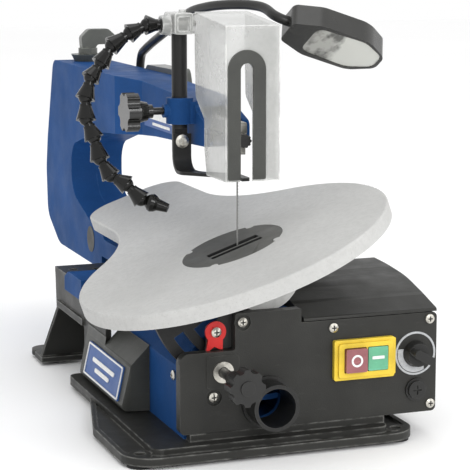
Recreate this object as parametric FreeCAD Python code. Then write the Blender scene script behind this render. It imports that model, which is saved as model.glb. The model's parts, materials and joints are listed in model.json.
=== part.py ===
import FreeCAD, Part
import math
import os

# Scroll saw with a 406 mm throat, in millimetres.
# Every piece is drawn from the point where the blade crosses the table top:
# X to the right, Y to the back, Z up.  ROW_SHIFT then moves it to the row's
# origin, the point on the bench midway between the two front fixing holes.
BLADE_TO_HOLES = 75.0
TABLE_HEIGHT = 149.0
ROW_SHIFT = FreeCAD.Vector(0, BLADE_TO_HOLES, TABLE_HEIGHT)
BENCH = -TABLE_HEIGHT

# table
TABLE_R = 127.5
TABLE_CENTRE_Y = 1.0
TABLE_REAR = 288.0
WAIST_HALF = 46.0
WAIST_R = 130.0
TABLE_THICK = 12.0
SKIN = 6.0
TABLE_TILT = 19.1
PIVOT_BELOW_TOP = 12.6
PIVOT_Z = -PIVOT_BELOW_TOP / math.cos(math.radians(TABLE_TILT))
LEVEL_TOP = PIVOT_Z + PIVOT_BELOW_TOP
LEVEL_UNDER = LEVEL_TOP - TABLE_THICK
LEVEL_SKIN = LEVEL_TOP - SKIN
INSERT_R = 41.25
INSERT_KEYS = (48, 132, 228, 312)
KEY_R = 3.4
TRUNNION_R = 29.0
TRUNNION_FRONT = (-61.0, -50.0)
TRUNNION_REAR = (82.0, 92.0)
PIVOT_PIN_R = 5.0
BRACKETS = ((-49.4, -44.0), (92.6, 97.6))
QUADRANT_Y = (-57.0, -52.0)
QUADRANT_R = 93.0
LOCK_X = -38.0
LOCK_Z = -83.7
LOCK_R = 4.0
LOCK_RADIUS = math.hypot(LOCK_X, LOCK_Z - PIVOT_Z)
LOCK_ANGLE = math.degrees(math.atan2(LOCK_Z - PIVOT_Z, LOCK_X)) % 360

# base
FLANGE_HALF = 118.0
FLANGE_FRONT = -92.0
FLANGE_TOP = BENCH + 8.0
FOOT_TOP = BENCH + 3.0
PLINTH_TOP = BENCH + 13.0
DECK_TOP = BENCH + 89.0
PEDESTAL_HALF = 80.0
FRONT_HOLE = (104.5, -75.0)
REAR_HOLE = (84.0, 286.0)
FIXING_R = 4.25

# C-shaped frame
ARM_HALF = 26.0
NOSE_LEFT = -14.0
NOSE_RIGHT = 24.0
THROAT = 406.0
WALL = 4.0
HOUSING_HALF = 66.0
HOUSING_RIGHT = 27.0
HOUSING_FRONT = -62.7
SADDLE_HALF = 84.0

# rocker arms and blade
ARM_PIVOT_Y = 337.0
UPPER_PIVOT_Z = 92.0
LOWER_PIVOT_Z = -49.5
UPPER_TIP_Z = 92.0
LOWER_TIP_Z = -62.0
LINK_Y = 440.0
BLADE_LENGTH = 127.0
UPPER_PIN_Z = 75.0
LOWER_PIN_Z = UPPER_PIN_Z - BLADE_LENGTH
STROKE = 12.0
CRANK_Y = 20.0
CRANK_Z = -90.0
CRANK_R = STROKE / 2 * (ARM_PIVOT_Y - CRANK_Y) / ARM_PIVOT_Y
CRANK_PIN_R = 3.0

# front panel and hood
PANEL_Y = -72.0
PANEL_LEFT = -72.0
PANEL_RIGHT = 140.0
PANEL_TOP = -50.5
SHOULDER_TOP = -39.8
SHOULDER_RIGHT = 25.5
PANEL_BOTTOM = -130.0
NOTCH_RIGHT = -28.0
NOTCH_BOTTOM = -68.0
PANEL_WALL = 3.0
HOOD_LEFT = 28.0
HOOD_BACK = 52.0
PORT_X = -3.0
PORT_Z = -109.5
PORT_R = 18.0
SWITCH_X = (51.5, 103.5)
SWITCH_Z = (-98.0, -66.5)
DIAL = (121.6, -82.4)
FUSE = (122.6, -111.4)
PANEL_SCREWS = ((-21.9, -47.0), (-45.1, -103.0), (51.9, -56.6), (133.5, -55.6), (135.0, -123.6))

# hold-down post, guard, blower hose and lamp
POST_X = -24.0
POST_Y = 70.0
POST_R = 6.3
POST_TOP = 176.0
POST_FOOT = 66.0
BOSS_Z = (89.0, 110.0)
GUARD_X = (-17.0, 27.5)
GUARD_Y = (-21.0, 52.0)
GUARD_Z = (52.0, 172.0)
GUARD_REAR_TOP = 179.5
GUARD_WALL = 2.0
GUARD_HINGE = (60.0, 170.0)
STRIP_R = (5.2, 15.5)
STRIP_ARC_Z = 138.0
HOSE = (
    (-36.8, 70.0, 168.5), (-51.0, 70.0, 168.7), (-65.3, 70.0, 162.6), (-80.6, 69.0, 153.0),
    (-90.2, 67.0, 139.7), (-99.6, 64.0, 128.6), (-105.4, 60.0, 113.3), (-106.5, 55.0, 96.9),
    (-101.8, 50.0, 82.7), (-98.9, 44.0, 66.6), (-92.0, 38.0, 53.7), (-80.8, 32.0, 46.7),
    (-70.8, 26.0, 35.4), (-51.7, 16.0, 28.6),
)
HOSE_BALL_R = 5.6
GOOSENECK = (
    (31.0, 366.0, 100.0), (31.0, 360.0, 122.0), (29.5, 322.0, 136.0), (26.0, 262.0, 151.5),
    (21.5, 172.0, 175.0), (27.8, 140.0, 180.0), (36.1, 118.0, 182.0), (46.0, 98.0, 182.6),
    (53.0, 79.0, 181.0),
)
GOOSENECK_R = 4.1
HEAD_ROOT = (66.0, 57.0, 170.0)
HEAD_ALONG = (0.946, -0.046, -0.32)
HEAD_LENGTH = 84.0
HEAD_WIDTH = 42.0
HEAD_THICK = 22.0
HEAD_LOW = -11.0


# ---------------------------------------------------------------- geometry

def vec(x, y, z):
    """A point or direction."""
    return FreeCAD.Vector(x, y, z)


def block(x, y, z):
    """A box between the (low, high) pair on each axis."""
    return Part.makeBox(x[1] - x[0], y[1] - y[0], z[1] - z[0], vec(x[0], y[0], z[0]))


def rod(start, end, radius):
    """A cylinder from start to end."""
    start = vec(*start)
    along = vec(*end) - start
    return Part.makeCylinder(radius, along.Length, start, along)


def ring(start, end, outer, inner):
    """A tube from start to end."""
    return rod(start, end, outer).cut(rod(start, end, inner))


def cone(start, end, start_radius, end_radius):
    """A cone or frustum from start to end."""
    start = vec(*start)
    along = vec(*end) - start
    return Part.makeCone(start_radius, end_radius, along.Length, start, along)


def ball(centre, radius):
    """A sphere about its centre."""
    return Part.makeSphere(radius, vec(*centre))


def on_plane(axis, a, b, c):
    """The point (a, b) of the plane across axis, at height c along it."""
    if axis == "x":
        return vec(c, a, b)
    if axis == "y":
        return vec(a, c, b)
    return vec(a, b, c)


def outline_edges(axis, corners, level):
    """Edges through corners (a, b) or (a, b, radius); each radius is a tangent arc."""
    spans = []
    count = len(corners)
    for i in range(count):
        here = vec(corners[i][0], corners[i][1], 0)
        radius = corners[i][2] if len(corners[i]) > 2 else 0.0
        before = vec(corners[i - 1][0], corners[i - 1][1], 0) - here
        after = vec(corners[(i + 1) % count][0], corners[(i + 1) % count][1], 0) - here
        before.normalize()
        after.normalize()
        if radius == 0:
            spans.append((here, None, here))
            continue
        half = before.getAngle(after) / 2
        inward = before + after
        inward.normalize()
        setback = radius / math.tan(half)
        middle = here + inward * (radius / math.sin(half) - radius)
        spans.append((here + before * setback, middle, here + after * setback))
    edges = []
    for i in range(count):
        start, middle, end = spans[i]
        if middle is not None:
            points = [on_plane(axis, p.x, p.y, level) for p in (start, middle, end)]
            edges.append(Part.Arc(*points).toShape())
        following = spans[(i + 1) % count][0]
        if end.distanceToPoint(following) > 1e-6:
            line = [on_plane(axis, p.x, p.y, level) for p in (end, following)]
            edges.append(Part.makeLine(*line))
    return edges


def prism(axis, corners, low, high):
    """A solid between two levels along an axis, from a rounded outline across it."""
    face = Part.Face(Part.Wire(outline_edges(axis, corners, low)))
    return face.extrude(on_plane(axis, 0, 0, high - low))


def joined(shapes):
    """One solid out of touching or overlapping shapes."""
    shapes = list(shapes)
    result = shapes[0]
    if len(shapes) > 1:
        result = shapes[0].multiFuse(shapes[1:])
    return result.removeSplitter()


def group(shapes):
    """Separate solids kept side by side in one node."""
    return Part.makeCompound(list(shapes))


def fused(shapes):
    """Overlapping cutters as one shape."""
    return shapes[0].multiFuse(shapes[1:])


def largest(shape):
    """The biggest solid of a shape, leaving trimming crumbs out."""
    return max(shape.Solids, key=lambda solid: solid.Volume)


def mirrored(shape):
    """The shape's mirror image across the plane X = 0."""
    return shape.mirror(vec(0, 0, 0), vec(1, 0, 0))


def rounded_box(x, y, z, axis, radius):
    """A box whose four edges along one axis are rounded."""
    pairs = {"x": (y, z, x), "y": (x, z, y), "z": (x, y, z)}[axis]
    (a0, a1), (b0, b1), (low, high) = pairs
    corners = [(a0, b0, radius), (a1, b0, radius), (a1, b1, radius), (a0, b1, radius)]
    return prism(axis, corners, low, high)


def sector(y, inner, outer, start, end):
    """Part of a ring about the table's pivot line, between two angles in degrees."""
    def at(radius, angle):
        turn = math.radians(angle)
        return vec(radius * math.cos(turn), y[0], PIVOT_Z + radius * math.sin(turn))
    middle = (start + end) / 2
    edges = [
        Part.Arc(at(outer, start), at(outer, middle), at(outer, end)).toShape(),
        Part.makeLine(at(outer, end), at(inner, end)),
        Part.Arc(at(inner, end), at(inner, middle), at(inner, start)).toShape(),
        Part.makeLine(at(inner, start), at(outer, start)),
    ]
    return Part.Face(Part.Wire(edges)).extrude(vec(0, y[1] - y[0], 0))


def lobed(axis, centre, low, high, radius, lobes, depth):
    """A hand knob's head: a disc with round flutes cut round its rim."""
    a, b = centre
    head = rod(on_plane(axis, a, b, low), on_plane(axis, a, b, high), radius)
    reach = radius + depth * 0.6
    for i in range(lobes):
        turn = 2 * math.pi * (i + 0.5) / lobes
        flute_a = a + reach * math.cos(turn)
        flute_b = b + reach * math.sin(turn)
        start = on_plane(axis, flute_a, flute_b, low - 1)
        end = on_plane(axis, flute_a, flute_b, high + 1)
        head = head.cut(rod(start, end, depth * 1.6))
    return head


def tilted(shape):
    """A piece drawn for the level table, turned to the table's rest angle."""
    return shape.rotated(vec(0, 0, PIVOT_Z), vec(0, -1, 0), TABLE_TILT)


def path_wire(points):
    """Straight runs joined by tangent arcs, each as large as its runs allow."""
    points = [vec(*p) for p in points]
    edges = []
    last = points[0]
    for i in range(1, len(points) - 1):
        before = points[i - 1] - points[i]
        after = points[i + 1] - points[i]
        setback = 0.45 * min(before.Length, after.Length)
        before.normalize()
        after.normalize()
        half = before.getAngle(after) / 2
        radius = setback * math.tan(half)
        inward = before + after
        inward.normalize()
        start = points[i] + before * setback
        middle = points[i] + inward * (radius / math.sin(half) - radius)
        end = points[i] + after * setback
        edges.append(Part.makeLine(last, start))
        edges.append(Part.Arc(start, middle, end).toShape())
        last = end
    edges.append(Part.makeLine(last, points[-1]))
    return Part.Wire(edges)


def pipe(points, radius):
    """A round bar along a path."""
    path = path_wire(points)
    along = vec(*points[1]) - vec(*points[0])
    circle = Part.Wire(Part.makeCircle(radius, vec(*points[0]), along))
    return path.makePipeShell([circle], True, True)


def screw(point, direction, head_radius, shank_radius, length):
    """A pan-head cross screw: point is on the clamped face, direction leaves it."""
    out = vec(*direction)
    seat = vec(*point)
    head = Part.makeCylinder(head_radius, 1.4, seat, out)
    dome = Part.makeCone(head_radius, head_radius * 0.6, 0.9, seat + out * 1.4, out)
    shank = Part.makeCylinder(shank_radius, length, seat, out * -1)
    body = joined([head, dome, shank])
    side = vec(0, 0, 1) if abs(out.z) < 0.5 else vec(1, 0, 0)
    for arm in (side, out.cross(side)):
        start = seat + out * 1.1 - arm * (head_radius * 0.55)
        across = out.cross(arm)
        corner = start - across * 0.55
        slot = Part.makeBox(head_radius * 1.1, 1.1, 2.0)
        frame = FreeCAD.Matrix(
            arm.x, across.x, out.x, corner.x,
            arm.y, across.y, out.y, corner.y,
            arm.z, across.z, out.z, corner.z,
            0, 0, 0, 1)
        body = body.cut(slot.transformGeometry(frame))
    return body


# -------------------------------------------------------------------- base

def flange_outline(grow):
    """The base's footprint; grow moves its edge outwards."""
    half = FLANGE_HALF + grow
    front = FLANGE_FRONT - grow
    return [
        (-half, front, 24), (half, front, 24), (half, 5, 20),
        (94 + grow, 100, 12), (94 + grow, 168 + grow, 4), (-94 - grow, 168 + grow, 4),
        (-94 - grow, 100, 12), (-half, 5, 20),
    ]


def base_side_wall():
    """The pedestal's left wall, open below as an arch."""
    wall = [
        (100, FLANGE_TOP), (100, DECK_TOP), (266, DECK_TOP, 3), (261, FLANGE_TOP + 26),
        (255, FLANGE_TOP + 26), (255, DECK_TOP - 35, 5), (167, DECK_TOP - 35, 5),
        (167, FLANGE_TOP),
    ]
    lip = [
        (167, DECK_TOP - 35), (255, DECK_TOP - 35), (255, DECK_TOP - 29), (167, DECK_TOP - 29),
    ]
    return joined([
        prism("x", wall, -PEDESTAL_HALF, -PEDESTAL_HALF + 5),
        prism("x", lip, -PEDESTAL_HALF - 2, -PEDESTAL_HALF + 1),
    ])


def base_rear_leg():
    """The flared rear wall with its foot flange and the two fixing lugs."""
    spread = [
        (-98, FOOT_TOP), (-PEDESTAL_HALF, DECK_TOP - 36), (-PEDESTAL_HALF, DECK_TOP - 4),
        (PEDESTAL_HALF, DECK_TOP - 4), (PEDESTAL_HALF, DECK_TOP - 36), (98, FOOT_TOP),
        (58, FOOT_TOP), (50, DECK_TOP - 40, 12), (-50, DECK_TOP - 40, 12), (-58, FOOT_TOP),
    ]
    pieces = [prism("y", spread, 255, 261)]
    for side in (-1, 1):
        x = side * REAR_HOLE[0]
        low, high = sorted((side * 58, side * 98))
        pieces.append(block((low, high), (250, 276), (FOOT_TOP, FLANGE_TOP)))
        pieces.append(rod((x, REAR_HOLE[1], FOOT_TOP), (x, REAR_HOLE[1], FLANGE_TOP), 14))
        gusset = [(261, FLANGE_TOP), (284, FLANGE_TOP), (261, DECK_TOP - 45)]
        inner, outer = sorted((side * 62, side * 67))
        pieces.append(prism("x", gusset, inner, outer))
    return joined(pieces)


def base_frame():
    """The cast base: flange, plinth, pedestal with open arches and two rear legs."""
    flange = prism("z", flange_outline(0), FOOT_TOP, FLANGE_TOP)
    bead = prism("z", flange_outline(0), FLANGE_TOP, FLANGE_TOP + 1.6)
    bead = bead.cut(prism("z", flange_outline(-4), FLANGE_TOP - 1, FLANGE_TOP + 3))
    plinth = rounded_box((-96, 96), (-82, 163), (FLANGE_TOP, PLINTH_TOP), "z", 8)
    deck = block((-PEDESTAL_HALF, PEDESTAL_HALF), (100, 266), (DECK_TOP - 5, DECK_TOP))
    pieces = [flange, bead, plinth, deck, base_side_wall(), mirrored(base_side_wall())]
    pieces.append(base_rear_leg())
    pieces.append(block((-64, 96), (-71.5, -63.2), (PLINTH_TOP - 1, PANEL_BOTTOM - 0.3)))
    front_rib = block((-PEDESTAL_HALF, PEDESTAL_HALF), (100, 105), (PLINTH_TOP, PLINTH_TOP + 22))
    pieces.append(front_rib)
    for side in (-1, 1):
        x = side * FRONT_HOLE[0]
        pieces.append(rod((x, FRONT_HOLE[1], FOOT_TOP), (x, FRONT_HOLE[1], FLANGE_TOP + 1.5), 9))
    base = joined(pieces)
    for x, y in (FRONT_HOLE, REAR_HOLE):
        for side in (-1, 1):
            base = base.cut(rod((side * x, y, BENCH), (side * x, y, FLANGE_TOP + 5), FIXING_R))
    for side in (-1, 1):
        base = base.cut(rod((side * 68, 246, DECK_TOP - 9), (side * 68, 246, DECK_TOP + 1), 4))
    opening = block((-50, 50), (60, 245), (DECK_TOP - 9, DECK_TOP + 1))
    arm_slot = block((-12, 12), (240, 272), (DECK_TOP - 14, DECK_TOP + 1))
    return base.cut(opening).cut(arm_slot)


def base_feet():
    """A rubber ring under each fixing hole."""
    feet = []
    for x, y in (FRONT_HOLE, REAR_HOLE):
        for side in (-1, 1):
            feet.append(ring((side * x, y, BENCH), (side * x, y, FOOT_TOP), 10, FIXING_R))
    return group(feet)


# ------------------------------------------------------------------- frame

def tilt_wedge(gap):
    """The space that the table's left side sweeps as it tilts to 45 degrees."""
    bands = ((-71, 104, 131), (103, 131, 92), (130, 161, 71), (160, 291, 57))
    wedges = []
    for front, back, reach in bands:
        turn = math.radians(227)
        top = PIVOT_Z + 1.2 - gap
        low_x = reach * math.cos(turn)
        low_z = top + reach * math.sin(turn)
        corners = [(0, top), (low_x, low_z), (low_x - 60, low_z), (-reach - 40, top)]
        wedges.append(prism("y", corners, front, back))
    return wedges


def arm_profile(inset):
    """The C shape seen from the side; inset shrinks it to the inner hollow."""
    i = inset
    return [
        (36 - i, 73 + i), (166, 67.5 + i), (312, 57 + i, 30), (THROAT + i, 34, 24),
        (THROAT + i, -12, 26), (340, -32 - i, 20), (299, -34 - i, 4), (292, -43 - i, 4),
        (150, -43 - i), (150, -73 + i), (458, -73 + i, 38), (504 - i, -48, 20),
        (507 - i, 0, 40), (500 - i, 32, 60), (472 - i, 114 - i, 14), (240, 114 - i, 40),
        (60 - i, 107 - i, 8), (60 - i, 100 - i, 6), (36 - i, 92 - i, 6),
    ]


def frame_body(inset):
    """The whole blue frame as one body, shrunk by inset for its hollow."""
    i = inset
    arm = prism("x", arm_profile(i), -ARM_HALF + i, ARM_HALF - i)
    nose = prism("z", [
        (NOSE_LEFT + i, -20), (NOSE_RIGHT - i, -20), (NOSE_RIGHT - i, 205),
        (ARM_HALF - i, 250), (ARM_HALF - i, 530), (-ARM_HALF + i, 530),
        (-ARM_HALF + i, 250), (NOSE_LEFT + i, 205),
    ], 40, 200)
    upper = arm.common(nose)
    lower = arm.common(block((-100, 100), (100, 530), (-100, 40)))
    housing = prism("y", [
        (-HOUSING_HALF + i, PLINTH_TOP + 0.2 + i), (-HOUSING_HALF + i, -82 - i, 5),
        (-28 + i * 0.4, -45 - i, 4), (HOUSING_RIGHT - i, -45 - i),
        (HOUSING_RIGHT - i, PLINTH_TOP + 0.2 + i),
    ], HOUSING_FRONT + i, 104 - i)
    saddle = prism("x", [
        (98 + i, DECK_TOP - 0.2), (217 - i, DECK_TOP - 0.2), (207 - i, -55 - i * 0.8, 4),
        (157, -34 - i * 1.1), (98 + i, -34 - i * 1.1),
    ], -SADDLE_HALF + i, SADDLE_HALF - i)
    if not i:
        skirt = block((-SADDLE_HALF, SADDLE_HALF), (98, 217), (DECK_TOP - 12, DECK_TOP))
        saddle = saddle.fuse(skirt)
    return [upper, lower, housing, saddle]


def frame_shell():
    """The hollow casting before it is split into halves."""
    outer = joined(frame_body(0))
    seat = block((-PEDESTAL_HALF - 0.2, PEDESTAL_HALF + 0.2), (60, 300), (-160, DECK_TOP + 0.2))
    housing_keep = block((-HOUSING_HALF, HOUSING_RIGHT), (-80, 99.8), (-160, -40))
    outer = outer.cut(seat.cut(housing_keep))
    outer = outer.cut(fused(tilt_wedge(0)))
    outer = outer.cut(rod((0, -72, PIVOT_Z), (0, -48, PIVOT_Z), QUADRANT_R + 2))
    hollow = joined(frame_body(WALL))
    hollow = hollow.cut(fused(tilt_wedge(WALL * 1.5)))
    hollow = hollow.cut(rod((0, -72, PIVOT_Z), (0, -44, PIVOT_Z), QUADRANT_R + 6))
    return outer.cut(hollow)


def frame_openings():
    """Cutters for the blade, the nose, the motor shaft and the access holes."""
    return [
        block((-13, 13), (-16, 16), (-60, -30)),
        block((-9, 19), (20, 70), (79, 103)),
        rod((10, CRANK_Y, CRANK_Z), (40, CRANK_Y, CRANK_Z), 9),
        rod((PORT_X, HOUSING_FRONT - 1, PORT_Z), (PORT_X, HOUSING_FRONT + WALL + 1, PORT_Z), PORT_R - 3),
        rod((-45.1, HOUSING_FRONT - 1, -103), (-45.1, HOUSING_FRONT + WALL + 1, -103), 2.0),
        block((-12, 12), (96, 106), (-74, -46)),
        rod((-HOUSING_HALF - 1, -41, -91), (-HOUSING_HALF + WALL + 1, -41, -91), 1.55),
        rod((0, LINK_Y, 100), (0, LINK_Y, 130), 5.2),
        rod((LOCK_X, -60, LOCK_Z), (LOCK_X, -30, LOCK_Z), LOCK_R + 0.3),
    ]


def frame_halves():
    """The left and right halves of the C-shaped frame, bored for everything it carries."""
    shell = frame_shell()
    for cutter in frame_openings():
        shell = shell.cut(cutter)
    bosses = []
    for z in (UPPER_PIVOT_Z, LOWER_PIVOT_Z):
        for side in (-1, 1):
            inner = side * 8.5
            outer = side * (ARM_HALF - WALL + 0.5)
            bosses.append(rod((inner, ARM_PIVOT_Y, z), (outer, ARM_PIVOT_Y, z), 9))
    boss_top = BOSS_Z[1]
    bosses.append(rod((POST_X, POST_Y, BOSS_Z[0]), (POST_X, POST_Y, boss_top), 11))
    bosses.append(block((POST_X, NOSE_LEFT + 1), (POST_Y - 9, POST_Y + 9), (BOSS_Z[0], boss_top - 3)))
    bosses.append(rod((POST_X - 8, POST_Y, 99.5), (POST_X - 14, POST_Y, 99.5), 5.5))
    shell = joined([shell] + bosses)
    for z in (UPPER_PIVOT_Z, LOWER_PIVOT_Z):
        shell = shell.cut(rod((-40, ARM_PIVOT_Y, z), (40, ARM_PIVOT_Y, z), 5.0))
        for side in (-1, 1):
            mouth = rod((side * 23, ARM_PIVOT_Y, z), (side * 30, ARM_PIVOT_Y, z), 12.6)
            shell = shell.cut(mouth)
    shell = shell.cut(rod((POST_X, POST_Y, 80), (POST_X, POST_Y, 120), POST_R + 0.1))
    shell = shell.cut(rod((POST_X, POST_Y, 99.5), (POST_X - 20, POST_Y, 99.5), 3.1))
    left = shell.common(block((-120, 0), (-100, 560), (-160, 200)))
    right = shell.common(block((0.05, 120), (-100, 560), (-160, 200)))
    return largest(left), largest(right)


def pivot_plugs():
    """Round caps pressed into the frame over the arm pivots."""
    plugs = []
    for z in (UPPER_PIVOT_Z, LOWER_PIVOT_Z):
        for side in (-1, 1):
            seat = rod((side * 23.2, ARM_PIVOT_Y, z), (side * 26.4, ARM_PIVOT_Y, z), 12.5)
            plugs.append(seat)
    return group(plugs)


def pivot_shafts():
    """The steel shafts that the two arms swing on."""
    shafts = []
    for z in (UPPER_PIVOT_Z, LOWER_PIVOT_Z):
        shafts.append(rod((-22.9, ARM_PIVOT_Y, z), (22.9, ARM_PIVOT_Y, z), 4.95))
    return group(shafts)


def cover_section(inset):
    """The bulged profile of the left cover seen from the front."""
    i = inset
    return [
        (-HOUSING_HALF - 0.3 + i, -81.5 - i), (-82 + i * 0.6, -97.5 - i, 4),
        (-90 + i, -134 + i, 4), (-HOUSING_HALF - 0.3 + i, -135 + i),
    ]


def left_cover():
    """The bulged grey cover over the drive on the left side."""
    plan = [(-HOUSING_HALF, 22), (-96, 22, 14), (-96, 98, 4), (-HOUSING_HALF, 98)]
    outer = prism("y", cover_section(0), 22, 98)
    outer = outer.common(prism("z", plan, -140, -70))
    tail = prism("y", [
        (-80.4, -90), (-81.6, -97.5, 4), (-89.6, -134, 4), (-80.4, -135),
    ], 97, 152)
    tail_plan = [(-80, 96), (-96, 96), (-96, 152, 14), (-80, 152)]
    tail = tail.common(prism("z", tail_plan, -140, -70))
    hollow = prism("y", cover_section(2.5), 24.5, 96)
    hollow_plan = [(-HOUSING_HALF + 1, 24.5), (-93.5, 24.5, 11), (-93.5, 97), (-HOUSING_HALF + 1, 97)]
    hollow = hollow.common(prism("z", hollow_plan, -140, -70))
    return largest(joined([outer, tail]).cut(hollow))


def on_cover(z):
    """The cover face's X at a height."""
    return -82 - 8 * (-97.5 - z) / 36.5


def name_badge():
    """A plain framed plate on the cover."""
    top, bottom = -101.0, -128.5
    face = [
        (on_cover(top) - 0.1, top), (on_cover(bottom) - 0.1, bottom),
        (on_cover(bottom) - 1.3, bottom), (on_cover(top) - 1.3, top),
    ]
    return prism("y", face, 34, 134)


def arm_label():
    """A plain striped plate on the upper arm's left side."""
    return block((NOSE_LEFT - 0.7, NOSE_LEFT - 0.05), (100, 196), (74.5, 92))


# ----------------------------------------------------------- panel and hood

def panel_outline(inset):
    """The operating panel seen from the front, with its raised left shoulder."""
    i = inset
    return [
        (PANEL_LEFT + i, PANEL_BOTTOM + i, 4), (PANEL_RIGHT - i, PANEL_BOTTOM + i, 4),
        (PANEL_RIGHT - i, PANEL_TOP - i, 4), (SHOULDER_RIGHT - i, PANEL_TOP - i),
        (SHOULDER_RIGHT - i, SHOULDER_TOP - i, 1), (NOTCH_RIGHT + i, SHOULDER_TOP - i, 2),
        (NOTCH_RIGHT + i, NOTCH_BOTTOM - i, 2), (PANEL_LEFT + i, NOTCH_BOTTOM - i, 8),
    ]


def front_panel():
    """The operating panel, folded round the housing and pierced for its controls."""
    panel = prism("y", panel_outline(0), PANEL_Y, PANEL_Y + 9)
    panel = panel.cut(prism("y", panel_outline(2.5), PANEL_Y + PANEL_WALL, PANEL_Y + 10))
    lock_pad = rounded_box((-51, -25), (PANEL_Y - 0.8, PANEL_Y + 1), (-96, -71), "y", 3)
    panel = joined([panel, lock_pad])
    for x, z in PANEL_SCREWS[:2]:
        panel = panel.cut(rod((x, PANEL_Y - 1, z), (x, PANEL_Y + 1.6, z), 6.2))
    for x, z in PANEL_SCREWS:
        panel = panel.cut(rod((x, PANEL_Y - 1, z), (x, PANEL_Y + 12, z), 2.05))
    panel = panel.cut(rod((LOCK_X, PANEL_Y - 2, LOCK_Z), (LOCK_X, PANEL_Y + 12, LOCK_Z), LOCK_R + 0.3))
    panel = panel.cut(rod((PORT_X, PANEL_Y - 2, PORT_Z), (PORT_X, PANEL_Y + 12, PORT_Z), PORT_R - 0.5))
    panel = panel.cut(rod((DIAL[0], PANEL_Y - 2, DIAL[1]), (DIAL[0], PANEL_Y + 12, DIAL[1]), 4.2))
    panel = panel.cut(rod((FUSE[0], PANEL_Y - 2, FUSE[1]), (FUSE[0], PANEL_Y + 12, FUSE[1]), 6.1))
    mouth_x = (SWITCH_X[0] + 3, SWITCH_X[1] - 3)
    mouth_z = (SWITCH_Z[0] + 3, SWITCH_Z[1] - 3)
    return panel.cut(block(mouth_x, (PANEL_Y - 2, PANEL_Y + 12), mouth_z))


def hood_profile(inset):
    """The hood from the side: a crown that rises from the panel to its back."""
    i = inset
    lift = PANEL_TOP + 0.5
    front = PANEL_Y + 0.5
    return [
        (front + i, lift), (front + i, -47.8 - i, 2), (-46, -40.3 - i, 150), (-14, -32.2 - i, 150),
        (20, -29.0 - i, 250), (HOOD_BACK - i, -27.6 - i, 6), (HOOD_BACK - i, PANEL_BOTTOM + i),
        (-62.5, PANEL_BOTTOM + i), (-62.5, lift),
    ]


def motor_hood():
    """The black hood over the motor, open towards the panel."""
    hood = prism("x", hood_profile(0), HOOD_LEFT, PANEL_RIGHT)
    hollow = prism("x", hood_profile(2.5), HOOD_LEFT + 2.5, PANEL_RIGHT - 2.5)
    front_mouth = block((HOOD_LEFT + 2.5, PANEL_RIGHT - 2.5), (-70, -55), (PANEL_BOTTOM + 2.5, -54))
    hood = hood.cut(hollow).cut(front_mouth)
    hood = hood.cut(rod((20, CRANK_Y, CRANK_Z), (32, CRANK_Y, CRANK_Z), 9))
    hood = hood.cut(rod((112, HOOD_BACK - 10, -112), (112, HOOD_BACK + 8, -112), 7.5))
    for row in range(6):
        z = -104 + row * 8
        hood = hood.cut(rounded_box((130, 150), (-20, 44), (z, z + 3.4), "x", 1.5))
    return largest(hood)


def cord_gland():
    """The empty gland where the power cord would leave the hood."""
    nut = ring((112, HOOD_BACK - 5, -112), (112, HOOD_BACK - 2.6, -112), 10, 4)
    sleeve = ring((112, HOOD_BACK - 2.6, -112), (112, HOOD_BACK, -112), 7.4, 4)
    tail = cone((112, HOOD_BACK, -112), (112, HOOD_BACK + 11, -112), 9.5, 6.5)
    tail = tail.cut(rod((112, HOOD_BACK - 1, -112), (112, HOOD_BACK + 12, -112), 4))
    return joined([nut, sleeve, tail])


def dust_port():
    """The round dust spigot with a collar behind the panel."""
    start = (PORT_X, PANEL_Y - 23, PORT_Z)
    end = (PORT_X, PANEL_Y + 9, PORT_Z)
    root = (PORT_X, PANEL_Y - 3, PORT_Z)
    tube = ring(root, end, PORT_R - 0.6, PORT_R - 3)
    spigot = ring(start, root, PORT_R, PORT_R - 3)
    collar = ring(root, (PORT_X, PANEL_Y - 0.05, PORT_Z), PORT_R + 2.0, PORT_R - 3)
    return joined([tube, spigot, collar])


def switch_plate():
    """The yellow switch body with its raised rim."""
    x0, x1 = SWITCH_X
    z0, z1 = SWITCH_Z
    y = PANEL_Y
    plate = rounded_box((x0, x1 - 1.5), (y - 4, y - 0.05), (z0, z1), "y", 1.5)
    step = rounded_box((x0 + 24, x1), (y - 3, y - 0.05), (z0 + 1.5, z1 - 1.0), "y", 1)
    rim = rounded_box((x0 + 3, x1 - 4), (y - 6, y - 3), (z0 + 2.5, z1 - 2.5), "y", 2)
    body = block((x0 + 3.2, x1 - 3.2), (y - 3, y + 22), (z0 + 3.2, z1 - 3.2))
    shell = joined([plate, step, rim, body])
    for low, high in ((x0 + 7.5, x0 + 26.2), (x0 + 27, x1 - 7.5)):
        well = rounded_box((low, high), (y - 7, y + 10), (z0 + 6, z1 - 6), "y", 1)
        shell = shell.cut(well)
    return shell


def stop_button():
    """The red key, standing proud, with a round groove on its face."""
    x0 = SWITCH_X[0]
    z0, z1 = SWITCH_Z
    key = rounded_box((x0 + 8, x0 + 25.7), (PANEL_Y - 9, PANEL_Y + 2), (z0 + 6.5, z1 - 6.5), "y", 1.4)
    mark = ring((x0 + 16.8, PANEL_Y - 10, -82.2), (x0 + 16.8, PANEL_Y - 8.6, -82.2), 4.4, 3.0)
    return key.cut(mark)


def start_button():
    """The green key, set lower, with a bar-shaped groove on its face."""
    x1 = SWITCH_X[1]
    x0 = SWITCH_X[0]
    z0, z1 = SWITCH_Z
    key = rounded_box((x0 + 27.5, x1 - 8), (PANEL_Y - 6.4, PANEL_Y + 2), (z0 + 6.5, z1 - 6.5), "y", 1)
    middle = (x0 + 27.5 + x1 - 8) / 2
    return key.cut(block((middle - 4.5, middle + 4.5), (PANEL_Y - 7, PANEL_Y - 6), (-82.9, -81.3)))


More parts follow.
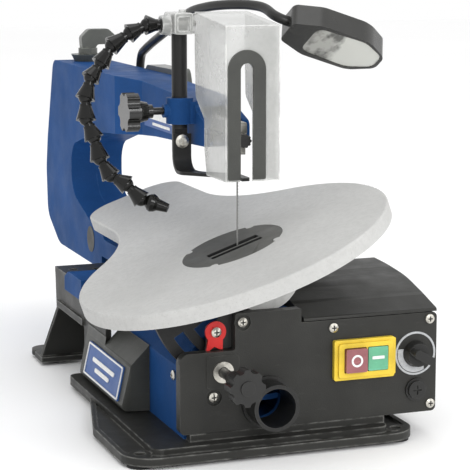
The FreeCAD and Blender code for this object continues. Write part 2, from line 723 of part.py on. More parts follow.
def speed_knob():
    """Round skirted knob with a wing grip; its stem enters the panel."""
    x, z = DIAL
    skirt = cone((x, PANEL_Y - 1.0, z), (x, PANEL_Y - 8, z), 10.2, 9.2)
    wing = rounded_box((x - 3.4, x + 3.4), (PANEL_Y - 18, PANEL_Y - 7), (z - 9, z + 9), "y", 3)
    wing = wing.rotated(vec(x, 0, z), vec(0, 1, 0), -62)
    stem = rod((x, PANEL_Y - 1.5, z), (x, PANEL_Y + 8, z), 3.0)
    return joined([skirt, wing, stem])


def fuse_holder():
    """The round fuse cap with a cross slot, its bezel and its body."""
    x, z = FUSE
    cap = rod((x, PANEL_Y - 3.5, z), (x, PANEL_Y - 0.05, z), 7.2)
    edge = ring((x, PANEL_Y - 1.6, z), (x, PANEL_Y - 0.05, z), 9, 7)
    body = rod((x, PANEL_Y - 1, z), (x, PANEL_Y + 22, z), 6.0)
    holder = joined([cap, edge, body])
    holder = holder.cut(block((x - 3.6, x + 3.6), (PANEL_Y - 4, PANEL_Y - 2.4), (z - 0.7, z + 0.7)))
    return holder.cut(block((x - 0.7, x + 0.7), (PANEL_Y - 4, PANEL_Y - 2.4), (z - 3.6, z + 3.6)))


def tilt_pointer():
    """The red pointer in the panel's notch, pointing at the tilt scale."""
    x, z = -41.5, -54.0
    y = (-66.5, -64.5)
    head = rod((x, y[0], z), (x, y[1], z), 8.2)
    blade = prism("y", [(x - 5.6, z - 4), (x + 5.6, z - 4), (x + 5.5, z - 13.5), (x - 7.5, z - 14)],
                  y[0], y[1])
    notch = prism("y", [(x - 1.2, z - 11.2), (x + 5, z - 14.5), (x - 6, z - 14.6)], y[0] - 1, y[1] + 1)
    hole = rod((x, y[0] - 1, z), (x, y[1] + 1, z), 2.1)
    return joined([head, blade]).cut(notch).cut(hole)


def pointer_bracket():
    """The tab behind the notch that carries the pointer."""
    tab = prism("y", [(-48.5, -67), (-28.5, -67), (-28.5, -38.5), (-48.5, -50)], -64.4, -62.4)
    foot = block((-48.5, -31), (-62.9, -60.9), (-75, -66))
    return joined([tab, foot]).cut(rod((-41.5, -66, -54), (-41.5, -60, -54), 1.6))


def lock_washer():
    """The washer under the star knob's hub."""
    return ring((LOCK_X, PANEL_Y - 2.2, LOCK_Z), (LOCK_X, PANEL_Y - 0.85, LOCK_Z), 8.2, LOCK_R + 0.3)


def table_lock_knob():
    """The star knob with its stud through the panel and the quadrant's slot."""
    head = lobed("y", (LOCK_X, LOCK_Z), -126.0, -114.0, 14.0, 8, 2.4)
    face = rod((LOCK_X, -127.2, LOCK_Z), (LOCK_X, -126.0, LOCK_Z), 5.5)
    hub = cone((LOCK_X, -114.0, LOCK_Z), (LOCK_X, -96.0, LOCK_Z), 9.5, 6.5)
    stud = rod((LOCK_X, -97.0, LOCK_Z), (LOCK_X, -38.0, LOCK_Z), LOCK_R)
    return joined([head, face, hub, stud])


def cross_screws():
    """All visible pan-head screws of the panel, the housing and the pointer."""
    out = (0, -1, 0)
    screws = []
    for i, (x, z) in enumerate(PANEL_SCREWS):
        depth = 1.6 if i < 2 else 0.0
        screws.append(screw((x, PANEL_Y + depth, z), out, 3.7, 1.9, 8))
    screws.append(screw((-41.5, -66.6, -54.0), out, 3.9, 1.5, 4))
    screws.append(screw((-HOUSING_HALF - 0.05, -41.0, -91.0), (-1, 0, 0), 3.9, 1.5, 6))
    return group(screws)


# ------------------------------------------------------------------- table

def table_outline(inset):
    """Front lobe, concave waist and rear lobe as arcs; inset shrinks it."""
    lobe = TABLE_R - inset
    waist = WAIST_R + inset
    half = WAIST_HALF - inset
    rear = TABLE_REAR - inset
    corner = 30.0 - inset
    away = half + waist
    centre_y = TABLE_CENTRE_Y + math.sqrt((lobe + waist) ** 2 - away ** 2)
    share = lobe / (lobe + waist)
    touch = (away * share, TABLE_CENTRE_Y + (centre_y - TABLE_CENTRE_Y) * share)
    middle_turn = (math.atan2(touch[1] - centre_y, touch[0] - away) + 2 * math.pi + math.pi) / 2
    waist_mid = (away + waist * math.cos(middle_turn), centre_y + waist * math.sin(middle_turn))
    quarter = corner * (1 - math.sqrt(0.5))
    return lobe, half, rear, corner, centre_y, touch, waist_mid, quarter


def table_face(inset, level):
    """The table's outline as a flat face at one level."""
    lobe, half, rear, corner, centre_y, touch, waist_mid, quarter = table_outline(inset)

    def at(x, y):
        return vec(x, y, level)
    edges = [Part.Arc(at(-touch[0], touch[1]), at(0, TABLE_CENTRE_Y - lobe), at(*touch)).toShape()]
    for side in (1, -1):
        chain = [
            Part.Arc(at(side * touch[0], touch[1]), at(side * waist_mid[0], waist_mid[1]),
                     at(side * half, centre_y)).toShape(),
            Part.makeLine(at(side * half, centre_y), at(side * half, rear - corner)),
            Part.Arc(at(side * half, rear - corner), at(side * (half - quarter), rear - quarter),
                     at(side * (half - corner), rear)).toShape(),
        ]
        edges.extend(chain)
    edges.append(Part.makeLine(at(half - corner, rear), at(corner - half, rear)))
    return Part.Face(Part.Wire(Part.__sortEdges__(edges)))


def table_plate(inset, low, high):
    """The table's outline as a slab."""
    return table_face(inset, low).extrude(vec(0, 0, high - low))


def trunnion(y):
    """A half-round hub under the table, bored for its pivot pin."""
    hub = rod((0, y[0], PIVOT_Z), (0, y[1], PIVOT_Z), TRUNNION_R)
    hub = hub.common(block((-40, 40), (y[0] - 1, y[1] + 1), (PIVOT_Z - 40, LEVEL_SKIN + 1)))
    return hub


def insert_keys(radius, low, high):
    """The four small lobes of the table that key the insert against turning."""
    keys = []
    for turn in INSERT_KEYS:
        x = INSERT_R * math.cos(math.radians(turn))
        y = INSERT_R * math.sin(math.radians(turn))
        keys.append(rod((x, y, low), (x, y, high), radius))
    return group(keys)


def table():
    """The cast table, drawn level: top skin, deep rim, ribs and two trunnions."""
    plate = table_plate(0, LEVEL_UNDER, LEVEL_TOP)
    top_edges = [e for e in plate.Edges if all(abs(v.Z - LEVEL_TOP) < 0.01 for v in e.Vertexes)]
    plate = plate.makeFillet(1.8, top_edges)
    plate = plate.cut(table_plate(5, LEVEL_UNDER - 1, LEVEL_SKIN))
    ribs = [block((-2, 2), (-60, 280), (LEVEL_UNDER, LEVEL_SKIN + 1))]
    for y in (-85, 75, 150, 220):
        ribs.append(block((-120, 120), (y - 2, y + 2), (LEVEL_UNDER, LEVEL_SKIN + 1)))
    for x in (-62, 62):
        ribs.append(block((x - 2, x + 2), (-118, 118), (LEVEL_UNDER, LEVEL_SKIN + 1)))
    inside = table_plate(4, LEVEL_UNDER - 1, LEVEL_SKIN + 2)
    ribs = [rib.common(inside) for rib in ribs]
    body = joined([plate] + ribs + [trunnion(TRUNNION_FRONT), trunnion(TRUNNION_REAR)])
    recess = rod((0, 0, LEVEL_TOP - 3.2), (0, 0, LEVEL_TOP + 1), INSERT_R + 0.25)
    body = body.cut(recess.cut(insert_keys(KEY_R, LEVEL_TOP - 4, LEVEL_TOP + 0.001)))
    body = body.cut(rod((0, 0, LEVEL_UNDER - 1), (0, 0, LEVEL_TOP), INSERT_R - 5))
    for y in (TRUNNION_FRONT, TRUNNION_REAR):
        body = body.cut(rod((0, y[0] - 5, PIVOT_Z), (0, y[1] + 5, PIVOT_Z), PIVOT_PIN_R + 0.06))
    tab_pocket = block((-93.3, -29.7), (QUADRANT_Y[0] - 0.3, QUADRANT_Y[1] + 0.3),
                       (LEVEL_UNDER - 1, LEVEL_SKIN))
    for y, back in BRACKETS:
        body = body.cut(block((-14, 14), (y - 0.5, back + 0.5), (LEVEL_UNDER - 1, LEVEL_SKIN)))
    return tilted(body.cut(tab_pocket))


def table_insert():
    """The dark round insert with the blade slot and a clearance slot."""
    disc = rod((0, 0, LEVEL_TOP - 3.1), (0, 0, LEVEL_TOP - 0.1), INSERT_R)
    disc = disc.cut(rounded_box((-22, 22), (-4.2, 3.2), (LEVEL_TOP - 5, LEVEL_TOP + 1), "z", 1.5))
    disc = disc.cut(rounded_box((-22, 22), (-12.6, -7.4), (LEVEL_TOP - 5, LEVEL_TOP + 1), "z", 1.5))
    return tilted(disc.cut(insert_keys(KEY_R + 0.3, LEVEL_TOP - 5, LEVEL_TOP + 1)))


def tilt_quadrant():
    """The tilt scale's sector plate with the arc slot for the lock stud."""
    plate = sector(QUADRANT_Y, TRUNNION_R + 1.5, QUADRANT_R, 180.5, LOCK_ANGLE + 9)
    tab = block((-92.5, -31), QUADRANT_Y, (PIVOT_Z - 2, LEVEL_SKIN - 0.1))
    plate = joined([plate, tab])
    low = LOCK_ANGLE - 45 - 3.5
    high = LOCK_ANGLE + 3.5
    deep = (QUADRANT_Y[0] - 1, QUADRANT_Y[1] + 1)
    slot = sector(deep, LOCK_RADIUS - LOCK_R - 0.5, LOCK_RADIUS + LOCK_R + 0.5, low, high)
    window = sector(deep, 42, 68, 196, 236)
    return tilted(plate.cut(slot).cut(window))


def pivot_brackets():
    """The two posts on the frame whose pins carry the table's trunnions."""
    pieces = []
    for y, back in BRACKETS:
        foot = prism("y", [(-14, -44.9), (14, -44.9), (6, PIVOT_Z), (-6, PIVOT_Z)], y, back)
        post = foot.fuse(rod((0, y, PIVOT_Z), (0, back, PIVOT_Z), 6.2))
        if y < 0:
            pin = rod((0, TRUNNION_FRONT[0] + 1, PIVOT_Z), (0, y + 1, PIVOT_Z), PIVOT_PIN_R)
        else:
            pin = rod((0, TRUNNION_REAR[0] + 1, PIVOT_Z), (0, y + 1, PIVOT_Z), PIVOT_PIN_R)
        pieces.append(joined([post, pin]))
    return group(pieces)


# ------------------------------------------------------------------- drive

def upper_rocker():
    """The upper arm: a bar that tapers to the blade holder at its front."""
    side = [
        (-6, UPPER_TIP_Z - 5, 2), (60, UPPER_TIP_Z - 6), (ARM_PIVOT_Y, UPPER_PIVOT_Z - 11, 8),
        (LINK_Y + 12, UPPER_PIVOT_Z - 5, 4), (LINK_Y + 12, UPPER_PIVOT_Z + 5, 4),
        (ARM_PIVOT_Y, UPPER_PIVOT_Z + 11, 8), (60, UPPER_TIP_Z + 4), (-6, UPPER_TIP_Z + 4, 2),
    ]
    arm = prism("x", side, -6, 6)
    arm = arm.cut(rod((-9, ARM_PIVOT_Y, UPPER_PIVOT_Z), (9, ARM_PIVOT_Y, UPPER_PIVOT_Z), 5.0))
    arm = arm.cut(rod((0, LINK_Y, UPPER_PIVOT_Z - 12), (0, LINK_Y, UPPER_PIVOT_Z + 12), 4.6))
    return arm


def lower_rocker():
    """The lower arm, with the pins for the connecting rod, blade and link."""
    side = [
        (-8, LOWER_TIP_Z - 6, 2), (60, LOWER_TIP_Z - 7), (ARM_PIVOT_Y, LOWER_PIVOT_Z - 11, 8),
        (LINK_Y + 14, LOWER_PIVOT_Z - 6, 4), (LINK_Y + 14, LOWER_PIVOT_Z + 6, 4),
        (ARM_PIVOT_Y, LOWER_PIVOT_Z + 9, 8), (286, LOWER_PIVOT_Z - 1), (60, LOWER_TIP_Z + 6),
        (-8, LOWER_TIP_Z + 5, 2),
    ]
    arm = prism("x", side, -6, 6)
    arm = arm.cut(rod((-9, ARM_PIVOT_Y, LOWER_PIVOT_Z), (9, ARM_PIVOT_Y, LOWER_PIVOT_Z), 5.0))
    pin = rod((5, CRANK_Y, LOWER_TIP_Z), (13.2, CRANK_Y, LOWER_TIP_Z), 4.0)
    fork = block((-2.7, 2.7), (LINK_Y - 8, LINK_Y + 20), (LOWER_PIVOT_Z - 12, LOWER_PIVOT_Z + 12))
    arm = arm.cut(fork)
    link_pin = rod((-6, LINK_Y, LOWER_PIVOT_Z), (6, LINK_Y, LOWER_PIVOT_Z), 2.5)
    slot = block((-2.2, 2.2), (-9, 5), (LOWER_TIP_Z - 8, LOWER_TIP_Z + 12))
    return joined([arm.cut(slot), pin, link_pin])


def upper_blade_holder():
    """The clamp under the upper arm's tip, with a hooked seat for the blade pin."""
    block_part = rounded_box((-5, 5), (-6, 8), (UPPER_PIN_Z + 4, UPPER_TIP_Z - 5.3), "x", 1)
    cheeks = []
    for side in (-1, 1):
        low, high = sorted((side * 1.2, side * 5))
        cheeks.append(block((low, high), (-5, 6), (UPPER_PIN_Z - 4, UPPER_PIN_Z + 5)))
    holder = joined([block_part] + cheeks)
    return holder.cut(rod((-6, 0, UPPER_PIN_Z), (6, 0, UPPER_PIN_Z), 1.9))


def blade_thumbscrew():
    """The knurled screw in front of the upper blade holder."""
    z = (UPPER_PIN_Z + UPPER_TIP_Z - 1) / 2
    shank = rod((0, -6.1, z), (0, -11, z), 2)
    head = lobed("y", (0, z), -17.5, -11, 5.5, 10, 0.7)
    return joined([shank, head])


def lower_blade_holder():
    """The lower fork that takes the blade's lower pin."""
    holder = rounded_box((-2.2, 2.2), (-8, 4.9), (LOWER_TIP_Z - 6, LOWER_PIN_Z - 2.6), "x", 0.8)
    cheeks = []
    for side in (-1, 1):
        low, high = sorted((side * 1.0, side * 2.2))
        cheeks.append(block((low, high), (-5, 4), (LOWER_PIN_Z - 3, LOWER_PIN_Z + 3)))
    body = joined([holder] + cheeks)
    return body.cut(rod((-6, 0, LOWER_PIN_Z), (6, 0, LOWER_PIN_Z), 1.25))


def saw_blade():
    """The pinned blade with its teeth facing the operator."""
    half = 0.25
    back = 1.2
    points = [(back, LOWER_PIN_Z - 2), (back, UPPER_PIN_Z + 2), (-1.0, UPPER_PIN_Z + 2)]
    tooth = 2.5
    z = UPPER_PIN_Z - 10
    while z > LOWER_PIN_Z + 10:
        points.append((-1.0, z))
        points.append((-1.9, z - tooth * 0.75))
        points.append((-1.0, z - tooth * 0.95))
        z -= tooth
    points.append((-1.0, LOWER_PIN_Z - 2))
    strip = prism("x", points, -half, half)
    pins = []
    for z, reach in ((UPPER_PIN_Z, 4.6), (LOWER_PIN_Z, 2.2)):
        pins.append(rod((-reach, 0, z), (reach, 0, z), 1.2))
    return joined([strip] + pins)


def connecting_rod():
    """Hangs from the lower arm's pin round the crank; its big end has clearance."""
    x = (6.6, 12.0)
    top = ring((x[0], CRANK_Y, LOWER_TIP_Z), (x[1], CRANK_Y, LOWER_TIP_Z), 6.8, 4.05)
    big_inner = CRANK_PIN_R + 2 * CRANK_R + 0.6
    big = ring((x[0], CRANK_Y, CRANK_Z), (x[1], CRANK_Y, CRANK_Z), big_inner + 3.5, big_inner)
    gap = CRANK_Z + big_inner + 2
    shank = block(x, (CRANK_Y - 3.5, CRANK_Y + 3.5), (gap, LOWER_TIP_Z - 6))
    return joined([top, big, shank])


def crank():
    """The motor shaft's crank disc with its eccentric pin."""
    disc = rod((14.0, CRANK_Y, CRANK_Z), (20.0, CRANK_Y, CRANK_Z), 12)
    weight = balance_weight()
    pin = rod((6.2, CRANK_Y + CRANK_R, CRANK_Z), (15.0, CRANK_Y + CRANK_R, CRANK_Z), CRANK_PIN_R)
    shaft = rod((19.0, CRANK_Y, CRANK_Z), (60.0, CRANK_Y, CRANK_Z), 4.0)
    return joined([disc, weight, pin, shaft])


def balance_weight():
    """The balance weight opposite the crank pin."""
    half_disc = rod((15.0, CRANK_Y, CRANK_Z), (20.0, CRANK_Y, CRANK_Z), 16)
    side = block((14.0, 21.0), (CRANK_Y - 20, CRANK_Y - 3), (CRANK_Z - 20, CRANK_Z + 20))
    return half_disc.common(side)


def motor():
    """The motor can with end bells and brush caps, bored for its shaft."""
    def section(low, high, radius):
        return rod((low, CRANK_Y, CRANK_Z), (high, CRANK_Y, CRANK_Z), radius)
    pieces = [section(36, 112, 28), section(33, 37, 20), section(111, 118, 24)]
    for side in (-1, 1):
        z = CRANK_Z + side * 24
        pieces.append(rod((100, CRANK_Y, z), (100, CRANK_Y, z + side * 8), 5))
    body = joined(pieces)
    for i in range(8):
        turn = math.pi * i / 4
        y = CRANK_Y + 22 * math.cos(turn)
        z = CRANK_Z + 22 * math.sin(turn)
        body = body.cut(rod((110, y, z), (119, y, z), 2.5))
    return body.cut(section(30, 62, 4.08))


def motor_cradle():
    """The saddle that carries the motor over the plinth."""
    cradle = block((48, 93), (CRANK_Y - 22, CRANK_Y + 22), (-127, CRANK_Z - 20))
    return cradle.cut(rod((40, CRANK_Y, CRANK_Z), (110, CRANK_Y, CRANK_Z), 28.05))


def control_board():
    """Speed controller: a board with its heat sink, choke and capacitor."""
    board = block((62, 132), (-46, -44.4), (-124, -62))
    parts = [board]
    sink = [block((66, 92), (-44.4, -41), (-84, -66))]
    for i in range(5):
        x = 66 + i * 6
        sink.append(block((x, x + 2), (-41.2, -34), (-84, -66)))
    parts.append(joined(sink))
    parts.append(rod((104, -44.4, -104), (104, -30, -104), 9))
    parts.append(block((104, 112), (-44.4, -36), (-84, -70)))
    x, z = DIAL
    case = ring((x, PANEL_Y + 3.2, z), (x, PANEL_Y + 14, z), 8.5, 3.06)
    lid = rod((x, PANEL_Y + 14, z), (x, PANEL_Y + 15.5, z), 8.5)
    parts.append(joined([case, lid]))
    return group(parts)


def air_pump():
    """The blower's bellows under the lower arm, drawn in its pressed state."""
    discs = []
    for i in range(5):
        z = -128 + i * 8
        discs.append(cone((-30, 70, z), (-30, 70, z + 4), 17, 21))
        discs.append(cone((-30, 70, z + 4), (-30, 70, z + 8), 21, 17))
    discs.append(rod((-30, 70, -131.7), (-30, 70, -128), 20))
    return joined(discs)


def tension_rod():
    """The link between the arms' rear ends, threaded at its top."""
    rod_part = rod((0, LINK_Y, LOWER_PIVOT_Z + 7), (0, LINK_Y, 112), 3.0)
    eye = block((-2.5, 2.5), (LINK_Y - 6, LINK_Y + 6), (LOWER_PIVOT_Z - 6, LOWER_PIVOT_Z + 8))
    eye = eye.cut(rod((-4, LINK_Y, LOWER_PIVOT_Z), (4, LINK_Y, LOWER_PIVOT_Z), 2.56))
    return joined([eye, rod_part])


def tension_collar():
    """The dished collar on top of the column."""
    profile = cone((2, LINK_Y, 114.1), (2, LINK_Y, 121), 13.5, 17)
    return profile.cut(rod((2, LINK_Y, 112), (2, LINK_Y, 122), 6.4))


def tension_lever():
    """The quick-release handle above the collar."""
    hub = rod((2, LINK_Y, 114.4), (2, LINK_Y, 128), 6.0)
    cap = rod((2, LINK_Y, 121.3), (2, LINK_Y, 127), 9.5)
    handle = prism("y", [
        (-5, 126), (8, 126), (11, 130.5, 3), (20, 130.5, 3), (24, 127, 2), (31, 127, 3),
        (31, 138, 5), (22, 146, 5), (2, 146, 6), (-6, 138, 5),
    ], LINK_Y - 5, LINK_Y + 5)
    return joined([hub, cap, handle])


# --------------------------------------------------- hold-down, guard, hose

def hold_down_post():
    """The round post of the hold-down, with a flat where the foot is screwed on."""
    post = rod((POST_X, POST_Y, POST_FOOT), (POST_X, POST_Y, POST_TOP), POST_R)
    flat = block((POST_X - 8, POST_X + 8), (POST_Y - 8, POST_Y - 3), (POST_FOOT - 1, POST_FOOT + 19))
    return post.cut(flat)


def presser_foot():
    """A steel strap bent under the post, forked round the blade."""
    thick = 2.6
    front = POST_Y - 3
    strap = prism("x", [
        (front, POST_FOOT + 15), (front, 50, 14), (-6, 50),
        (-6, 50 + thick), (front - thick, 50 + thick, 11), (front - thick, POST_FOOT + 15),
    ], -32, 30)
    plan = prism("z", [
        (POST_X - 7.5, POST_Y + 2), (POST_X - 7.5, 46, 8), (-9, 22, 14), (-9, -7, 4), (9, -7, 4),
        (9, 22, 12), (POST_X + 8, 44, 14), (POST_X + 8, POST_Y + 2),
    ], 40, 90)
    foot = strap.common(plan)
    foot = foot.cut(block((-2, 2), (-10, 14), (45, 60)))
    return foot.cut(rod((POST_X, POST_Y - 10, 75), (POST_X, POST_Y + 2, 75), 2.1))


def foot_screw():
    """The screw that holds the presser foot to the post."""
    return screw((POST_X, POST_Y - 5.7, 75), (0, -1, 0), 5.5, 2.0, 2.6)


def guard_bracket():
    """The clear clamp on the post's top that carries the guard and the hose."""
    right = GUARD_X[0] - 0.4
    body = rounded_box((POST_X - 8.8, right), (54, 82), (161.5, 178.5), "y", 2)
    x, y, z = HOSE[0]
    boss = cone((POST_X - 8.0, y, z), (x - 3.0, y, z), 8.8, 7.6)
    lug = rod((right - 6.5, 62, 178), (right - 6.5, 62, 181), 3)
    body = joined([body, boss, lug])
    body = body.cut(rod((POST_X, POST_Y, 155), (POST_X, POST_Y, 177), POST_R))
    body = body.cut(rounded_box((POST_X - 6, right - 2.5), (52, 56), (164, 175.5), "y", 1.5))
    body = body.cut(ball(HOSE[0], HOSE_BALL_R + 0.3))
    body = body.cut(rod((x, y, z), (x - 5, y, z), 6.3))
    y, z = GUARD_HINGE
    return body.cut(rod((POST_X - 6, y, z), (right + 1, y, z), 2.2))


def guard_hinge_pin():
    """The pin that the guard swings up on."""
    y, z = GUARD_HINGE
    return rod((POST_X - 5.5, y, z), (GUARD_X[0] + 3.4, y, z), 2.15)


def guard_side(x):
    """One side wall of the guard, stepped at the back round the arm."""
    corners = [
        (GUARD_Y[0], GUARD_Z[0]), (24, GUARD_Z[0]), (29, 72), (29, 96, 4), (50, 112, 6),
        (GUARD_Y[1], 150), (GUARD_Y[1], GUARD_REAR_TOP), (GUARD_Y[0], GUARD_Z[1]),
    ]
    return prism("x", corners, x, x + GUARD_WALL)


def guard():
    """The clear box over the blade: front, top and two sides, open at the back."""
    left, right = GUARD_X
    front = block((left, right), (GUARD_Y[0], GUARD_Y[0] + GUARD_WALL), GUARD_Z)
    lid = prism("x", [
        (GUARD_Y[0], GUARD_Z[1] - GUARD_WALL), (GUARD_Y[1], GUARD_REAR_TOP - GUARD_WALL),
        (GUARD_Y[1], GUARD_REAR_TOP), (GUARD_Y[0], GUARD_Z[1]),
    ], left, right)
    y, z = GUARD_HINGE
    ear = rod((left, y, z), (left + GUARD_WALL, y, z), 8)
    web = block((left, left + GUARD_WALL), (45, y), (z - 8, z + 8))
    body = joined([front, lid, guard_side(left), guard_side(right - GUARD_WALL), ear, web])
    slot = [
        (-STRIP_R[0], GUARD_Z[0] - 1), (STRIP_R[0], GUARD_Z[0] - 1),
        (STRIP_R[0], STRIP_ARC_Z + STRIP_R[0], STRIP_R[0] - 0.01),
        (-STRIP_R[0], STRIP_ARC_Z + STRIP_R[0], STRIP_R[0] - 0.01),
    ]
    body = body.cut(prism("y", slot, GUARD_Y[0] - 1, GUARD_Y[0] + GUARD_WALL + 1))
    return body.cut(rod((left - 1, y, z), (left + 4, y, z), 2.21))


def guard_strip():
    """The dark U-shaped rim round the guard's slot."""
    inner, outer = STRIP_R
    low = GUARD_Z[0] + 1.5
    solid = prism("y", [
        (-outer, low, 1.5), (outer, low, 1.5), (outer, STRIP_ARC_Z + outer, outer - 0.01),
        (-outer, STRIP_ARC_Z + outer, outer - 0.01),
    ], GUARD_Y[0] - 1.4, GUARD_Y[0] - 0.02)
    slot = prism("y", [
        (-inner, low - 2), (inner, low - 2), (inner, STRIP_ARC_Z + inner, inner - 0.01),
        (-inner, STRIP_ARC_Z + inner, inner - 0.01),
    ], GUARD_Y[0] - 3, GUARD_Y[0] + 1)
    return solid.cut(slot)


def post_clamp_knob():
    """The lobed knob whose shank presses on the post."""
    y, z = POST_Y, 99.5
    head = lobed("x", (y, z), -71.0, -60.5, 16.0, 6, 3.2)
    hub = cone((-60.5, y, z), (-52, y, z), 9.5, 7.5)
    neck = rod((-52, y, z), (-47.5, y, z), 5.5)
    shank = rod((-48, y, z), (POST_X - POST_R - 0.4, y, z), 3.0)
    return joined([head, hub, neck, shank])


def hose_link(start, end):
    """One link: a ball at its start, a neck and a flared skirt over the next ball."""
    start = vec(*start)
    along = vec(*end) - start
    pitch = along.Length
    along.normalize()
    centre = Part.makeSphere(HOSE_BALL_R, start)
    skirt_end = pitch + 0.8
    neck = Part.makeCylinder(3.8, 7.0, start + along * 2.0, along)
    flare = Part.makeCone(4.4, 8.0, skirt_end - 6.0, start + along * 6.0, along)
    rib = Part.makeCylinder(4.8, 1.4, start + along * 5.6, along)
    link = joined([centre, neck, flare, rib])
    socket = Part.makeSphere(HOSE_BALL_R + 0.3, start + along * pitch)
    link = link.cut(socket)
    bore = Part.makeCylinder(2.2, pitch + 12, start - along * 8, along)
    return largest(link.cut(bore))


def hose_links(first, last):
    """Neighbouring links of the hose as one group."""
    return group([hose_link(HOSE[i], HOSE[i + 1]) for i in range(first, last)])


def hose_nozzle():
    """The end piece: a ball, a round shoulder and a long tapered tip."""
    start = vec(*HOSE[12])
    along = vec(*HOSE[13]) - start
    length = along.Length
    along.normalize()
    steps = ((4.0, 4.2, 6.4), (6.5, 6.4, 7.4), (9.0, 7.4, 6.4), (12.0, 6.4, 4.8), (14.0, 4.8, 3.5))
    pieces = [Part.makeSphere(HOSE_BALL_R, start), Part.makeCylinder(3.8, 5.0, start, along)]
    for i, (low, first, last) in enumerate(steps):
        high = steps[i + 1][0] if i + 1 < len(steps) else length
        pieces.append(Part.makeCone(first, last, high - low, start + along * low, along))
    body = joined(pieces)
    return largest(body.cut(Part.makeCylinder(2.0, length + 12, start - along * 8, along)))


# -------------------------------------------------------------------- lamp

def lamp_socket():
    """The lamp's housing on the arm's right side, with the neck's swivel bore."""
    x, y = GOOSENECK[0][:2]
    side = [
        (y + 12, 84, 5), (y + 12, 107, 5), (330, 109, 12), (318, 118, 8), (240, 119, 8),
        (232, 100, 8), (240, 84, 6),
    ]
    housing = prism("x", side, ARM_HALF + 0.05, ARM_HALF + 17)
    plug_relief = rod((20, ARM_PIVOT_Y, UPPER_PIVOT_Z), (ARM_HALF + 1, ARM_PIVOT_Y, UPPER_PIVOT_Z), 13)
    return housing.cut(plug_relief).cut(rod((x + 3, y, 88), (x + 3, y, 120), GOOSENECK_R + 0.08))


def lamp_gooseneck():
    """The bendable neck from the lamp housing to the head."""
    x, y = GOOSENECK[0][:2]
    root, long = head_frame()[:2]
    before = root - long * 12
    inside = root + long * 7
    points = [(x + 3, y, 88.5), (x + 3, y, 124)] + list(GOOSENECK[2:])
    points += [(before.x, before.y, before.z), (inside.x, inside.y, inside.z)]
    return pipe(points, GOOSENECK_R)


def head_frame():
    """The lamp head's own axes: length, across and up, and the joint with the neck."""
    root = vec(*HEAD_ROOT)
    long = vec(*HEAD_ALONG)
    long.normalize()
    down = vec(-0.22, -0.60, -0.77)
    up = (down - long * down.dot(long)) * -1
    up.normalize()
    across = up.cross(long)
    return root, long, across, up


def in_head(shape):
    """A piece drawn along X, with Y across and Z up, moved into the lamp head."""
    root, long, across, up = head_frame()
    matrix = FreeCAD.Matrix(
        long.x, across.x, up.x, root.x,
        long.y, across.y, up.y, root.y,
        long.z, across.z, up.z, root.z,
        0, 0, 0, 1)
    return shape.transformed(matrix, True)


def head_outline(inset, start):
    """The lamp head seen from above; its narrow end meets the neck."""
    i = inset
    half = HEAD_WIDTH / 2 - i
    end = HEAD_LENGTH - i
    return [
        (start, -12 + i * 0.6, 6), (22, -half, 22), (end - 20, -half, 22), (end, -8, 9),
        (end, 8, 9), (end - 20, half, 22), (22, half, 22), (start, 12 - i * 0.6, 6),
    ]


def lens_outline(inset):
    """The window in the head's underside."""
    i = inset
    half = HEAD_WIDTH / 2 - i
    end = HEAD_LENGTH - i
    return [
        (16 + i, -half + 2, 8), (end - 20, -half, 22), (end, -8, 9), (end, 8, 9),
        (end - 20, half, 22), (16 + i, half - 2, 8),
    ]


def lamp_head():
    """The head's shell, open below for its lens, with a raised ridge on top."""
    low = HEAD_LOW
    top = low + HEAD_THICK
    body = prism("z", head_outline(0, -2), low, top - 3)
    crown = prism("z", head_outline(1.4, -1), top - 3.5, top - 1.2)
    cap = prism("z", head_outline(4, 2), top - 1.7, top)
    hollow = prism("z", lens_outline(2.5), low - 1, top - 4)
    ridge = rounded_box((8, 44), (-8, 8), (top - 3, top + 3.0), "z", 6)
    shell = joined([body, crown, cap, ridge]).cut(hollow)
    neck_bore = rod((-4, 0, 0), (9, 0, 0), GOOSENECK_R + 0.06)
    return in_head(largest(shell.cut(neck_bore)))


def lamp_lens():
    """The clear plate set into the underside of the lamp head."""
    low = HEAD_LOW
    plate = prism("z", lens_outline(2.55), low + 0.8, low + 2.6)
    return in_head(plate)


def place_check(name, shape):
    """Stops the build when a piece is not sound."""
    if not shape.isValid() or not shape.Solids:
        raise RuntimeError("bad shape " + name)


